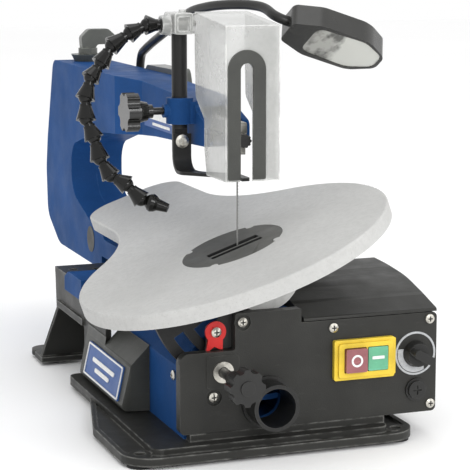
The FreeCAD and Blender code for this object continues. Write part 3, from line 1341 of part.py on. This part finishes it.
def build():
    """Every piece of the machine by node name."""
    frame_left, frame_right = frame_halves()
    return {
        "base_frame": base_frame(),
        "base_feet": base_feet(),
        "frame_left": frame_left,
        "frame_right": frame_right,
        "pivot_plugs": pivot_plugs(),
        "pivot_shafts": pivot_shafts(),
        "left_cover": left_cover(),
        "name_badge": name_badge(),
        "arm_label": arm_label(),
        "front_panel": front_panel(),
        "motor_hood": motor_hood(),
        "cord_gland": cord_gland(),
        "dust_port": dust_port(),
        "switch_plate": switch_plate(),
        "stop_button": stop_button(),
        "start_button": start_button(),
        "speed_knob": speed_knob(),
        "fuse_holder": fuse_holder(),
        "tilt_pointer": tilt_pointer(),
        "pointer_bracket": pointer_bracket(),
        "lock_washer": lock_washer(),
        "table_lock_knob": table_lock_knob(),
        "cross_screws": cross_screws(),
        "table": table(),
        "table_insert": table_insert(),
        "tilt_quadrant": tilt_quadrant(),
        "pivot_brackets": pivot_brackets(),
        "upper_rocker": upper_rocker(),
        "lower_rocker": lower_rocker(),
        "upper_blade_holder": upper_blade_holder(),
        "blade_thumbscrew": blade_thumbscrew(),
        "lower_blade_holder": lower_blade_holder(),
        "saw_blade": saw_blade(),
        "connecting_rod": connecting_rod(),
        "crank": crank(),
        "motor": motor(),
        "motor_cradle": motor_cradle(),
        "control_board": control_board(),
        "air_pump": air_pump(),
        "tension_rod": tension_rod(),
        "tension_collar": tension_collar(),
        "tension_lever": tension_lever(),
        "hold_down_post": hold_down_post(),
        "presser_foot": presser_foot(),
        "foot_screw": foot_screw(),
        "guard_bracket": guard_bracket(),
        "guard_hinge_pin": guard_hinge_pin(),
        "guard": guard(),
        "guard_strip": guard_strip(),
        "post_clamp_knob": post_clamp_knob(),
        "hose_root": hose_links(0, 3),
        "hose_middle": hose_links(3, 6),
        "hose_lower": hose_links(6, 9),
        "hose_tip": hose_links(9, 12),
        "hose_nozzle": hose_nozzle(),
        "lamp_socket": lamp_socket(),
        "lamp_gooseneck": lamp_gooseneck(),
        "lamp_head": lamp_head(),
        "lamp_lens": lamp_lens(),
    }


os.makedirs("parts", exist_ok=True)
for name, shape in build().items():
    place_check(name, shape)
    shape.translated(ROW_SHIFT).exportStep("parts/" + name + ".step")
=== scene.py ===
import json
import math

import bmesh
import bpy
from mathutils import Matrix, Vector


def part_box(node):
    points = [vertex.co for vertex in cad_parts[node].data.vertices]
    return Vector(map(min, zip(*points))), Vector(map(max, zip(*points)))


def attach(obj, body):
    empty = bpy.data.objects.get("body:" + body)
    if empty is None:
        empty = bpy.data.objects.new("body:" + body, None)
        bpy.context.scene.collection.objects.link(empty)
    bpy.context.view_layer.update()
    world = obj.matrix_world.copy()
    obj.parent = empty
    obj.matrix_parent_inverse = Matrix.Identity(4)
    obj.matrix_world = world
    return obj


# Looks of the scroll saw: materials, printed marks, lights and camera.
# Everything is in metres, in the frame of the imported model.

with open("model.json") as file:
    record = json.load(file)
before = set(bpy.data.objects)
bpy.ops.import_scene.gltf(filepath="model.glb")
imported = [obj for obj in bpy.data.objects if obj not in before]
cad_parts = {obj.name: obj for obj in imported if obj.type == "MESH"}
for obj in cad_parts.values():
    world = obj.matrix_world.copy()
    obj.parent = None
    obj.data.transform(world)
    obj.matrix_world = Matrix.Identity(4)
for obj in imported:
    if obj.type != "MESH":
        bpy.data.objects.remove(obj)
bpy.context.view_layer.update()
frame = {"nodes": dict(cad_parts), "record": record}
NODES = frame["nodes"]
MM = 0.001

# From the blade's point on the table top to the row's origin on the bench.
TABLE_POINT = Vector((0, 0.075, 0.149))
TABLE_LEAN = math.radians(19.1)
SOFT_EDGE = 0.0006  # bevel on the sharp edges of pressed and moulded shells


# ----------------------------------------------------------- paint helpers

def linear(rgb):
    """Screen colour from 0 to 255 as the linear colour a shader takes."""
    out = []
    for value in rgb:
        share = value / 255
        out.append(share / 12.92 if share <= 0.04045 else ((share + 0.055) / 1.055) ** 2.4)
    return tuple(out) + (1.0,)


def shade(rgb, factor):
    """The colour made darker or lighter by a factor."""
    return tuple(min(255, value * factor) for value in rgb)


class Paint:
    """One procedural material on a Principled shader."""

    def __init__(self, name, metallic=0.0, coat=0.0, ior=1.5, specular=0.5):
        """Starts the material with its constant shader values."""
        self.material = bpy.data.materials.new(name)
        self.material.use_nodes = True
        self.tree = self.material.node_tree
        self.shader = self.tree.nodes["Principled BSDF"]
        self.shader.inputs["Metallic"].default_value = metallic
        self.shader.inputs["Coat Weight"].default_value = coat
        self.shader.inputs["Coat Roughness"].default_value = 0.25
        self.shader.inputs["IOR"].default_value = ior
        self.shader.inputs["Specular IOR Level"].default_value = specular
        self.place = self.tree.nodes.new("ShaderNodeTexCoord").outputs["Object"]
        self.normal = None

    def link(self, source, target):
        """Joins an output socket to an input socket."""
        self.tree.links.new(source, target)

    def stretched(self, scale):
        """Object coordinates stretched along an axis, for brushed and drawn surfaces."""
        mapping = self.tree.nodes.new("ShaderNodeMapping")
        mapping.inputs["Scale"].default_value = scale
        self.link(self.place, mapping.inputs["Vector"])
        return mapping.outputs["Vector"]

    def noise(self, scale, detail=4.0, roughness=0.55, place=None):
        """Cloudy noise from 0 to 1."""
        node = self.tree.nodes.new("ShaderNodeTexNoise")
        node.inputs["Scale"].default_value = scale
        node.inputs["Detail"].default_value = detail
        node.inputs["Roughness"].default_value = roughness
        self.link(place or self.place, node.inputs["Vector"])
        return node.outputs["Fac"]

    def cells(self, scale):
        """Distance inside small cells, for moulded grain."""
        node = self.tree.nodes.new("ShaderNodeTexVoronoi")
        node.inputs["Scale"].default_value = scale
        self.link(self.place, node.inputs["Vector"])
        return node.outputs["Distance"]

    def span(self, value, low, high, to_low=0.0, to_high=1.0):
        """The value moved from one range to another and clamped."""
        node = self.tree.nodes.new("ShaderNodeMapRange")
        node.inputs["From Min"].default_value = low
        node.inputs["From Max"].default_value = high
        node.inputs["To Min"].default_value = to_low
        node.inputs["To Max"].default_value = to_high
        self.link(value, node.inputs["Value"])
        return node.outputs["Result"]

    def mix(self, factor, first, second):
        """Colour mix; first and second are colours or sockets."""
        node = self.tree.nodes.new("ShaderNodeMix")
        node.data_type = "RGBA"
        self.link(factor, node.inputs["Factor"])
        for value, target in ((first, node.inputs[6]), (second, node.inputs[7])):
            if isinstance(value, tuple):
                target.default_value = value
            else:
                self.link(value, target)
        return node.outputs[2]

    def calculate(self, operation, first, second):
        """One sum on numbers or sockets."""
        node = self.tree.nodes.new("ShaderNodeMath")
        node.operation = operation
        for value, target in ((first, node.inputs[0]), (second, node.inputs[1])):
            if isinstance(value, (int, float)):
                target.default_value = value
            else:
                self.link(value, target)
        return node.outputs[0]

    def edge_wear_and_highlight(self, radius):
        """From 0 on flat surfaces to 1 on edges and corners, broken up by noise: a mask for worn edges
        and for painted edge highlights.
        """
        bevel = self.tree.nodes.new("ShaderNodeBevel")
        bevel.samples = 4
        bevel.inputs["Radius"].default_value = radius
        geometry = self.tree.nodes.new("ShaderNodeNewGeometry")
        dot = self.tree.nodes.new("ShaderNodeVectorMath")
        dot.operation = "DOT_PRODUCT"
        self.link(bevel.outputs["Normal"], dot.inputs[0])
        self.link(geometry.outputs["Normal"], dot.inputs[1])
        edge_wear_and_highlight_mask = self.span(dot.outputs["Value"], 0.995, 0.86)
        patches = self.span(self.noise(90.0, 5.0), 0.38, 0.62)
        return self.calculate("MULTIPLY", edge_wear_and_highlight_mask, patches)

    def bump(self, height, distance, strength=1.0):
        """Adds relief on top of what is there already."""
        node = self.tree.nodes.new("ShaderNodeBump")
        node.inputs["Strength"].default_value = strength
        node.inputs["Distance"].default_value = distance
        self.link(height, node.inputs["Height"])
        if self.normal is not None:
            self.link(self.normal, node.inputs["Normal"])
        self.normal = node.outputs["Normal"]

    def finish(self, colour, roughness):
        """Joins the colour, roughness and relief to the shader."""
        self.link(colour, self.shader.inputs["Base Color"])
        self.link(roughness, self.shader.inputs["Roughness"])
        if self.normal is not None:
            self.link(self.normal, self.shader.inputs["Normal"])
        return self.material


# --------------------------------------------------------------- materials

def painted(name, rgb, rough, wear_and_highlight_rgb, wear_and_highlight=0.6, peel=420.0, radius=0.0014, specular=0.2):
    """Sprayed paint: cloudy colour, orange peel, dust specks, and lighter edges that are partly worn
    paint and partly painted highlight.
    """
    paint = Paint(name, specular=specular)
    cloud = paint.span(paint.noise(14.0, 5.0), 0.3, 0.7)
    colour = paint.mix(cloud, linear(shade(rgb, 0.92)), linear(shade(rgb, 1.07)))
    speck = paint.span(paint.noise(1500.0, 2.0), 0.58, 0.72, 0.0, 0.22)
    colour = paint.mix(speck, colour, linear(shade(rgb, 1.5)))
    # Lighter edges: partly worn paint, partly painted highlight along rims and edges.
    edge_wear_and_highlight_mask = paint.calculate("MULTIPLY", paint.edge_wear_and_highlight(radius), wear_and_highlight)
    colour = paint.mix(edge_wear_and_highlight_mask, colour, linear(wear_and_highlight_rgb))
    paint.bump(paint.noise(peel, 2.0), 0.00022, 0.5)
    smears = paint.span(paint.noise(38.0, 6.0), 0.3, 0.7, rough - 0.07, rough + 0.09)
    return paint.finish(colour, smears)


def moulded(name, rgb, rough, grain=1100.0, depth=0.00012, wear_and_highlight=0.35, coat=0.0, specular=0.35):
    """Moulded plastic: fine grain, faint flow clouds, and lighter edges that are partly rubbed wear
    and partly painted highlight.
    """
    paint = Paint(name, coat=coat, specular=specular)
    cloud = paint.span(paint.noise(22.0, 6.0), 0.3, 0.7)
    colour = paint.mix(cloud, linear(shade(rgb, 0.88)), linear(shade(rgb, 1.12)))
    scuff = paint.noise(60.0, 8.0, 0.7, paint.stretched((1.0, 1.0, 5.0)))
    scuff = paint.span(scuff, 0.60, 0.74, 0.0, 0.25)
    colour = paint.mix(scuff, colour, linear(shade(rgb, 1.7)))
    # Lighter edges: partly rubbed wear, partly painted highlight.
    edge_wear_and_highlight_mask = paint.calculate("MULTIPLY", paint.edge_wear_and_highlight(0.0010), wear_and_highlight)
    colour = paint.mix(edge_wear_and_highlight_mask, colour, linear(shade(rgb, 2.3)))
    paint.bump(paint.cells(grain), depth, 0.45)
    paint.bump(paint.noise(300.0, 3.0), 0.00012, 0.25)
    smears = paint.span(paint.noise(45.0, 6.0), 0.3, 0.7, rough - 0.08, rough + 0.10)
    return paint.finish(colour, smears)


def insert_plastic(name, rgb):
    """Dull moulded disc; its slot walls get painted shade, a near-black colour standing in for the
    shade inside the slots.
    """
    paint = Paint(name, specular=0.3)
    cloud = paint.span(paint.noise(28.0, 6.0), 0.3, 0.7)
    colour = paint.mix(cloud, linear(shade(rgb, 0.90)), linear(shade(rgb, 1.10)))
    facing = paint.tree.nodes.new("ShaderNodeVectorMath")
    facing.operation = "DOT_PRODUCT"
    facing.inputs[1].default_value = (-math.sin(TABLE_LEAN), 0.0, math.cos(TABLE_LEAN))
    paint.link(paint.tree.nodes.new("ShaderNodeTexCoord").outputs["Normal"], facing.inputs[0])
    # Painted shade: faces turned away from the disc's axis, the slot walls, are painted near-black.
    slot_wall_painted_shade = paint.span(facing.outputs["Value"], 0.6, 0.9, 1.0, 0.0)
    colour = paint.mix(slot_wall_painted_shade, colour, linear((9, 9, 9)))
    paint.bump(paint.cells(800.0), 0.00016, 0.45)
    return paint.finish(colour, paint.span(paint.noise(45.0, 6.0), 0.3, 0.7, 0.42, 0.60))


def metal(name, rgb, rough, stretch=(1.0, 1.0, 14.0), scale=160.0, stain=0.25):
    """Worked metal: drawn lines along one axis, stains and uneven shine."""
    paint = Paint(name, metallic=1.0)
    lines = paint.noise(scale, 6.0, 0.6, paint.stretched(stretch))
    colour = paint.mix(paint.span(lines, 0.3, 0.7), linear(shade(rgb, 0.86)), linear(shade(rgb, 1.10)))
    stains = paint.span(paint.noise(55.0, 6.0), 0.5, 0.75, 0.0, stain)
    colour = paint.mix(stains, colour, linear(shade(rgb, 0.55)))
    paint.bump(lines, 0.00008, 0.4)
    smears = paint.span(paint.noise(70.0, 5.0), 0.3, 0.7, rough - 0.08, rough + 0.12)
    return paint.finish(colour, smears)


def cast_table(name, rgb, rough):
    """The table's sanded and sprayed casting: mottled grey with fine scratches."""
    paint = Paint(name, specular=0.15)
    cloud = paint.span(paint.noise(9.0, 6.0, 0.6), 0.3, 0.7)
    colour = paint.mix(cloud, linear(shade(rgb, 0.955)), linear(shade(rgb, 1.035)))
    mottle = paint.span(paint.noise(240.0, 4.0), 0.42, 0.66, 0.0, 0.35)
    colour = paint.mix(mottle, colour, linear(shade(rgb, 0.90)))
    dots = paint.span(paint.noise(900.0, 2.0), 0.60, 0.72, 0.0, 0.5)
    colour = paint.mix(dots, colour, linear(shade(rgb, 0.82)))
    scratch = paint.noise(130.0, 6.0, 0.65, paint.stretched((9.0, 1.0, 1.0)))
    scratch = paint.span(scratch, 0.66, 0.76, 0.0, 0.30)
    colour = paint.mix(scratch, colour, linear(shade(rgb, 1.12)))
    # Lighter edges: partly wear, partly painted highlight along the rim's fillet.
    edge_wear_and_highlight_mask = paint.calculate("MULTIPLY", paint.edge_wear_and_highlight(0.0016), 0.5)
    colour = paint.mix(edge_wear_and_highlight_mask, colour, linear(shade(rgb, 1.15)))
    paint.bump(paint.noise(260.0, 4.0), 0.00025, 0.35)
    paint.bump(paint.noise(900.0, 2.0), 0.0001, 0.3)
    smears = paint.span(paint.noise(30.0, 6.0), 0.3, 0.7, rough - 0.06, rough + 0.10)
    return paint.finish(colour, smears)


def clear(name, rgb, alpha, rough, haze):
    """Clear plastic as a thin film: milky patches, scratches, and denser near-white edges that are
    partly wear and partly painted highlight.
    """
    paint = Paint(name, ior=1.49)
    cloud = paint.span(paint.noise(20.0, 5.0), 0.3, 0.7)
    colour = paint.mix(cloud, linear(shade(rgb, 0.95)), linear(shade(rgb, 1.03)))
    milky = paint.span(paint.noise(16.0, 6.0, 0.65), 0.35, 0.75, alpha, alpha + haze)
    scratch = paint.noise(110.0, 8.0, 0.7, paint.stretched((1.0, 1.0, 8.0)))
    scratch = paint.span(scratch, 0.62, 0.76, 0.0, 0.22)
    # Near-white denser edges: partly scuffs, partly painted highlight.
    edge_wear_and_highlight_mask = paint.calculate("MULTIPLY", paint.edge_wear_and_highlight(0.0020), 0.75)
    colour = paint.mix(edge_wear_and_highlight_mask, colour, linear((250, 250, 248)))
    density = paint.calculate("ADD", paint.calculate("ADD", milky, scratch), edge_wear_and_highlight_mask)
    paint.link(density, paint.shader.inputs["Alpha"])
    paint.bump(paint.noise(120.0, 4.0), 0.0001, 0.3)
    smears = paint.span(paint.noise(50.0, 6.0), 0.3, 0.7, rough, rough + 0.12)
    return paint.finish(colour, smears)


def printed(name, rgb, rough):
    """Ink or foil on a plate: even colour with slight print mottle."""
    paint = Paint(name)
    mottle = paint.span(paint.noise(500.0, 4.0), 0.3, 0.7)
    colour = paint.mix(mottle, linear(shade(rgb, 0.94)), linear(shade(rgb, 1.04)))
    paint.bump(paint.noise(700.0, 2.0), 0.00006, 0.3)
    smears = paint.span(paint.noise(60.0, 4.0), 0.3, 0.7, rough - 0.05, rough + 0.08)
    return paint.finish(colour, smears)


def diffuser(name):
    """The lamp's window: a bright plate beyond a reflector in painted shade, with soft ripples."""
    paint = Paint(name, coat=0.5)
    ripple = paint.noise(70.0, 3.0, 0.6, paint.stretched((1.0, 0.4, 1.0)))
    split = paint.tree.nodes.new("ShaderNodeSeparateXYZ")
    paint.link(paint.place, split.inputs["Vector"])
    shifted = paint.calculate("ADD", split.outputs["X"], paint.span(ripple, 0, 1, -0.008, 0.008))
    side = paint.span(shifted, 0.103, 0.107)
    # Painted shade on the reflector side, with lighter painted streaks of light along the ripples.
    ripple_light_streak = paint.span(ripple, 0.42, 0.58)
    reflector_painted_shade = paint.mix(ripple_light_streak, linear((96, 96, 92)), linear((172, 172, 166)))
    colour = paint.mix(side, reflector_painted_shade, linear((206, 207, 200)))
    paint.bump(ripple, 0.0003, 0.3)
    return paint.finish(colour, paint.span(ripple, 0.3, 0.7, 0.12, 0.22))


MATERIALS = {
    # The pale edge colours of blue_paint and black_paint are partly wear and partly painted highlight
    # on rims and edges.
    "blue_paint": painted("blue_paint", (34, 72, 124), 0.42, (80, 122, 174), 0.45, specular=0.02),
    "black_paint": painted("black_paint", (48, 48, 46), 0.40, (150, 150, 146), 0.70,
                           radius=0.0022, specular=0.15),
    "dark_steel": painted("dark_steel", (40, 40, 40), 0.38, (110, 108, 104), 0.6, 600.0, 0.0008),
    "motor_can": painted("motor_can", (112, 113, 114), 0.45, (150, 150, 150), 0.5),
    "cover_plastic": moulded("cover_plastic", (66, 67, 64), 0.42, specular=0.2),
    "panel_plastic": moulded("panel_plastic", (48, 48, 46), 0.42, specular=0.2),
    "black_plastic": moulded("black_plastic", (35, 35, 34), 0.38, 900.0, 0.0001, 0.4),
    "hose_plastic": moulded("hose_plastic", (16, 16, 15), 0.10, 500.0, 0.00003, 0.2, 0.0, 0.30),
    # clamp_plastic's strong edge lightening is partly wear and partly painted highlight on the glossy
    # knob.
    "clamp_plastic": moulded("clamp_plastic", (20, 20, 19), 0.16, 700.0, 0.00008, 0.7, 0.4),
    "knob_plastic": moulded("knob_plastic", (78, 80, 76), 0.34, 700.0, 0.00014, 0.5, 0.3),
    "lamp_plastic": moulded("lamp_plastic", (44, 44, 42), 0.20, coat=0.5, specular=0.3),
    "insert_plastic": insert_plastic("insert_plastic", (76, 76, 72)),
    "strip_grey": moulded("strip_grey", (60, 61, 58), 0.50),
    "rubber": moulded("rubber", (26, 26, 26), 0.72, 700.0, 0.0002, 0.3),
    "red_plastic": moulded("red_plastic", (196, 36, 34), 0.36, wear_and_highlight=0.2),
    "yellow_plastic": moulded("yellow_plastic", (228, 196, 60), 0.38, wear_and_highlight=0.12),
    "stop_red": moulded("stop_red", (150, 88, 92), 0.28, wear_and_highlight=0.1, coat=0.5),
    "start_green": moulded("start_green", (100, 176, 138), 0.30, wear_and_highlight=0.1, coat=0.3),
    "lens_plastic": diffuser("lens_plastic"),
    "copper_green": moulded("copper_green", (34, 92, 54), 0.5),
    "zinc_screw": metal("zinc_screw", (206, 203, 194), 0.32, (1.0, 1.0, 1.0), 300.0),
    "bare_steel": metal("bare_steel", (176, 174, 168), 0.36),
    "blade_steel": metal("blade_steel", (120, 120, 118), 0.30, (1.0, 1.0, 6.0)),
    "table_cast": cast_table("table_cast", (190, 190, 188), 0.50),
    "clear_plastic": clear("clear_plastic", (190, 191, 188), 0.36, 0.14, 0.26),
    "badge_print": printed("badge_print", (34, 80, 146), 0.42),
    "white_print": printed("white_print", (232, 232, 230), 0.45),
    "silver_print": printed("silver_print", (176, 178, 180), 0.36),
}

# Nodes whose finish differs from the rest of their slot.
FINISHES = {"post_clamp_knob": "clamp_plastic"}


def dress_nodes():
    """Every CAD node takes its slot's procedural material."""
    for part in frame["record"]["subparts"]:
        node = NODES[part["node"]]
        slots = node.data.materials
        material = MATERIALS[FINISHES.get(part["node"], part["material_slot"])]
        if len(slots) == 0:
            slots.append(material)
        for i in range(len(slots)):
            slots[i] = material


def soften(node_name):
    """Rounds a node's sharp edges with a small bevel."""
    node = NODES[node_name]
    weld = node.modifiers.new("weld", "WELD")
    weld.merge_threshold = 0.00001
    bevel = node.modifiers.new("bevel", "BEVEL")
    bevel.width = SOFT_EDGE
    bevel.segments = 2
    bevel.limit_method = "ANGLE"
    bevel.angle_limit = math.radians(38)
    bevel.harden_normals = True


# ------------------------------------------------------------- mesh pieces

def new_piece(name, mesh, material, body):
    """A visible piece that rides on a body and takes the material of a slot of the part."""
    piece = bpy.data.objects.new(name, mesh)
    bpy.context.scene.collection.objects.link(piece)
    mesh.materials.append(MATERIALS[material])
    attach(piece, body)
    return piece


def flat_mesh(name, rings, origin, right, up, depth):
    """Raised flat shape: outer outline with holes, as (a, b) points on a plane."""
    out = right.cross(up)
    curve = bpy.data.curves.new(name + "_outline", "CURVE")
    curve.dimensions = "2D"
    curve.fill_mode = "BOTH"
    curve.extrude = depth / 2
    curve.bevel_depth = min(0.00012, depth / 4)
    curve.bevel_resolution = 1
    for ring in rings:
        spline = curve.splines.new("POLY")
        spline.points.add(len(ring) - 1)
        for point, (a, b) in zip(spline.points, ring):
            point.co = (a, b, 0, 1)
        spline.use_cyclic_u = True
    holder = bpy.data.objects.new(name + "_holder", curve)
    bpy.context.scene.collection.objects.link(holder)
    bpy.context.view_layer.update()
    mesh = bpy.data.meshes.new_from_object(holder.evaluated_get(bpy.context.evaluated_depsgraph_get()))
    bpy.data.objects.remove(holder)
    mesh.transform(Matrix((
        (right.x, up.x, out.x, origin.x),
        (right.y, up.y, out.y, origin.y),
        (right.z, up.z, out.z, origin.z),
        (0, 0, 0, 1))))
    return mesh


def circle(radius, centre=(0, 0), count=48, start=0.0, end=360.0):
    """Points round a circle; a full turn leaves out the last one."""
    full = abs(end - start) >= 360
    steps = count if full else count + 1
    points = []
    for i in range(steps):
        turn = math.radians(start + (end - start) * i / count)
        points.append((centre[0] + radius * math.cos(turn), centre[1] + radius * math.sin(turn)))
    return points


def rounded_rectangle(a, b, width, height, radius, count=6):
    """Points round a rectangle centred on (a, b), with rounded corners."""
    points = []
    for quarter, (side_a, side_b) in enumerate(((1, 1), (-1, 1), (-1, -1), (1, -1))):
        corner = (a + side_a * (width / 2 - radius), b + side_b * (height / 2 - radius))
        points += circle(radius, corner, count, quarter * 90, quarter * 90 + 90)
    return points


# Floor of the cross recess in each front screw from the blade's point, in millimetres.
RECESS_FLOORS = (
    (-21.9, -71.7, -47.0), (-45.1, -71.7, -103.0), (51.9, -73.3, -56.6),
    (133.5, -73.3, -55.6), (135.0, -73.3, -123.6), (-41.5, -67.9, -54.0),
)
# The speed knob's axis on the panel from the blade's point, in millimetres.
DIAL_X = 121.6
DIAL_Z = -82.4
RIGHT = Vector((1, 0, 0))
UP = Vector((0, 0, 1))


def switch_marks():
    """The white circle and bar on the keys."""
    low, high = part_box("stop_button")
    centre = Vector(((low.x + high.x) / 2, low.y - 0.0001, (low.z + high.z) / 2))
    mesh = flat_mesh("stop_circle", [circle(0.0047), circle(0.0033)], centre, RIGHT, UP, 0.0004)
    new_piece("stop_circle", mesh, "white_print", "stop_key")
    low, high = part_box("start_button")
    centre = Vector(((low.x + high.x) / 2, low.y - 0.0001, (low.z + high.z) / 2 + 0.0008))
    bar = rounded_rectangle(0, 0, 0.010, 0.0022, 0.0004)
    mesh = flat_mesh("start_bar", [bar], centre, RIGHT, UP, 0.0004)
    new_piece("start_bar", mesh, "white_print", "start_key")


def cross_outline(length, width):
    """A plus sign as twelve points."""
    a, b = length / 2, width / 2
    return [(b, a), (-b, a), (-b, b), (-a, b), (-a, -b), (-b, -b),
            (-b, -a), (b, -a), (b, -b), (a, -b), (a, b), (b, b)]


def screw_recess_painted_shade():
    """A dark cross of painted shade in the cross recess of each pan head that faces the front."""
    cross = cross_outline(0.0042, 0.0010)
    for i, recess in enumerate(RECESS_FLOORS):
        name = "screw_recess_shade_%d" % i
        # Painted shade: each cross is a near-black sheet laid at the recess floor.
        mesh = flat_mesh(name, [cross], TABLE_POINT + Vector(recess) * MM, RIGHT, UP, 0.0005)
        new_piece(name, mesh, "dark_steel", "machine")


def dial_marks():
    """The silver speed scale round the knob: a thin ring and a growing crescent."""
    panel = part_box("front_panel")[0].y
    centre = Vector((TABLE_POINT.x + DIAL_X * MM, panel + 0.0006, TABLE_POINT.z + DIAL_Z * MM))
    ring = flat_mesh("dial_ring", [circle(0.0172, count=72), circle(0.0158, count=72)],
                     centre, RIGHT, UP, 0.0005)
    new_piece("dial_ring", ring, "silver_print", "machine")
    outer = circle(0.0150, (0, 0), 40, 165, 300)
    inner = circle(0.0118, (0.0012, 0.0008), 40, 165, 300)
    crescent = flat_mesh("dial_crescent", [outer + inner[::-1]], centre, RIGHT, UP, 0.0005)
    new_piece("dial_crescent", crescent, "silver_print", "machine")


def badge_marks():
    """A pale rounded border and two plain bars on the cover's plate."""
    low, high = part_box("name_badge")
    top = Vector((high.x - 0.0010, 0, high.z))
    bottom = Vector((low.x, 0, low.z))
    up = (top - bottom).normalized()
    right = Vector((0, -1, 0))
    centre = Vector(((low.x + high.x) / 2, (low.y + high.y) / 2, (low.z + high.z) / 2))
    out = right.cross(up)
    centre += out * 0.0009
    width = high.y - low.y
    height = (top - bottom).length
    border = [rounded_rectangle(0, 0, width - 0.0012, height - 0.0012, 0.0015),
              rounded_rectangle(0, 0, width - 0.0040, height - 0.0036, 0.0010)]
    mesh = flat_mesh("badge_border", border, centre, right, up, 0.0006)
    new_piece("badge_border", mesh, "white_print", "machine")
    for i, (offset, length) in enumerate(((0.0026, 0.62), (-0.0046, 0.40))):
        bar = rounded_rectangle(0, offset, width * length, 0.0034, 0.0016)
        mesh = flat_mesh("badge_bar_%d" % i, [bar], centre, right, up, 0.0006)
        new_piece("badge_bar_%d" % i, mesh, "white_print", "machine")


def arm_marks():
    """Two plain pale bars on the upper arm's plate."""
    low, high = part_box("arm_label")
    right = Vector((0, -1, 0))
    centre = Vector((low.x - 0.0001, (low.y + high.y) / 2, (low.z + high.z) / 2))
    width = high.y - low.y
    for i, (offset, length, thick) in enumerate(((0.0022, 0.86, 0.0068), (-0.0052, 0.5, 0.0022))):
        bar = rounded_rectangle(0, offset, width * length, thick, 0.001)
        mesh = flat_mesh("arm_bar_%d" % i, [bar], centre, right, UP, 0.0004)
        new_piece("arm_bar_%d" % i, mesh, "white_print", "machine")


# ------------------------------------------------------------------- stage

CAMERA_PLACE = Vector((-0.4766, -1.2198, 0.3917))
CAMERA_FORWARD = Vector((0.3393, 0.9254, -0.1685))
CAMERA_RIGHT = Vector((0.9389, -0.3443, 0.0))
LENS = 136.2
SENSOR = 36.0


def floor():
    """The pale paper that the machine stands on."""
    mesh = bpy.data.meshes.new("floor")
    shape = bmesh.new()
    bmesh.ops.create_grid(shape, x_segments=2, y_segments=2, size=6.0)
    shape.to_mesh(mesh)
    shape.free()
    piece = bpy.data.objects.new("floor", mesh)
    bpy.context.scene.collection.objects.link(piece)
    paint = Paint("floor_paper")
    cloud = paint.span(paint.noise(0.7, 2.0), 0.3, 0.7)
    colour = paint.mix(cloud, linear((252, 252, 252)), linear((255, 255, 255)))
    mesh.materials.append(paint.finish(colour, paint.span(cloud, 0, 1, 0.85, 0.9)))


def area_light(name, place, target, size, power):
    """A soft rectangular lamp aimed at a point."""
    data = bpy.data.lights.new(name, "AREA")
    data.shape = "RECTANGLE"
    data.size, data.size_y = size
    data.energy = power
    light = bpy.data.objects.new(name, data)
    light.location = place
    light.rotation_euler = (Vector(target) - Vector(place)).to_track_quat("-Z", "Y").to_euler()
    bpy.context.scene.collection.objects.link(light)


def studio():
    """White surroundings with a key lamp in front, a weak fill and one from above."""
    world = bpy.data.worlds.new("studio")
    world.use_nodes = True
    background = world.node_tree.nodes["Background"]
    background.inputs["Strength"].default_value = 1.0
    background.inputs["Color"].default_value = (1.0, 1.0, 1.0, 1.0)
    bpy.context.scene.world = world
    area_light("key", (0.15, -1.9, 0.95), (0, 0.1, 0.12), (1.0, 0.7), 16)
    area_light("fill", (1.9, -1.0, 1.0), (0, 0.1, 0.12), (1.0, 1.2), 4)
    area_light("top", (0.2, 0.3, 2.2), (0, 0.1, 0.1), (1.2, 1.2), 6)


def camera():
    """The view from the front left, a little above the table."""
    data = bpy.data.cameras.new("camera")
    data.lens = LENS
    data.sensor_width = SENSOR
    holder = bpy.data.objects.new("camera", data)
    forward = CAMERA_FORWARD.normalized()
    right = CAMERA_RIGHT.normalized()
    up = right.cross(forward).normalized()
    place = CAMERA_PLACE
    holder.matrix_world = Matrix((
        (right.x, up.x, -forward.x, place.x),
        (right.y, up.y, -forward.y, place.y),
        (right.z, up.z, -forward.z, place.z),
        (0, 0, 0, 1)))
    bpy.context.scene.collection.objects.link(holder)
    bpy.context.scene.camera = holder


camera()
dress_nodes()
for name in ("front_panel", "motor_hood", "left_cover", "base_frame", "table_insert"):
    soften(name)
switch_marks()
screw_recess_painted_shade()
dial_marks()
badge_marks()
arm_marks()
floor()
studio()
bpy.context.scene.view_settings.view_transform = "Standard"
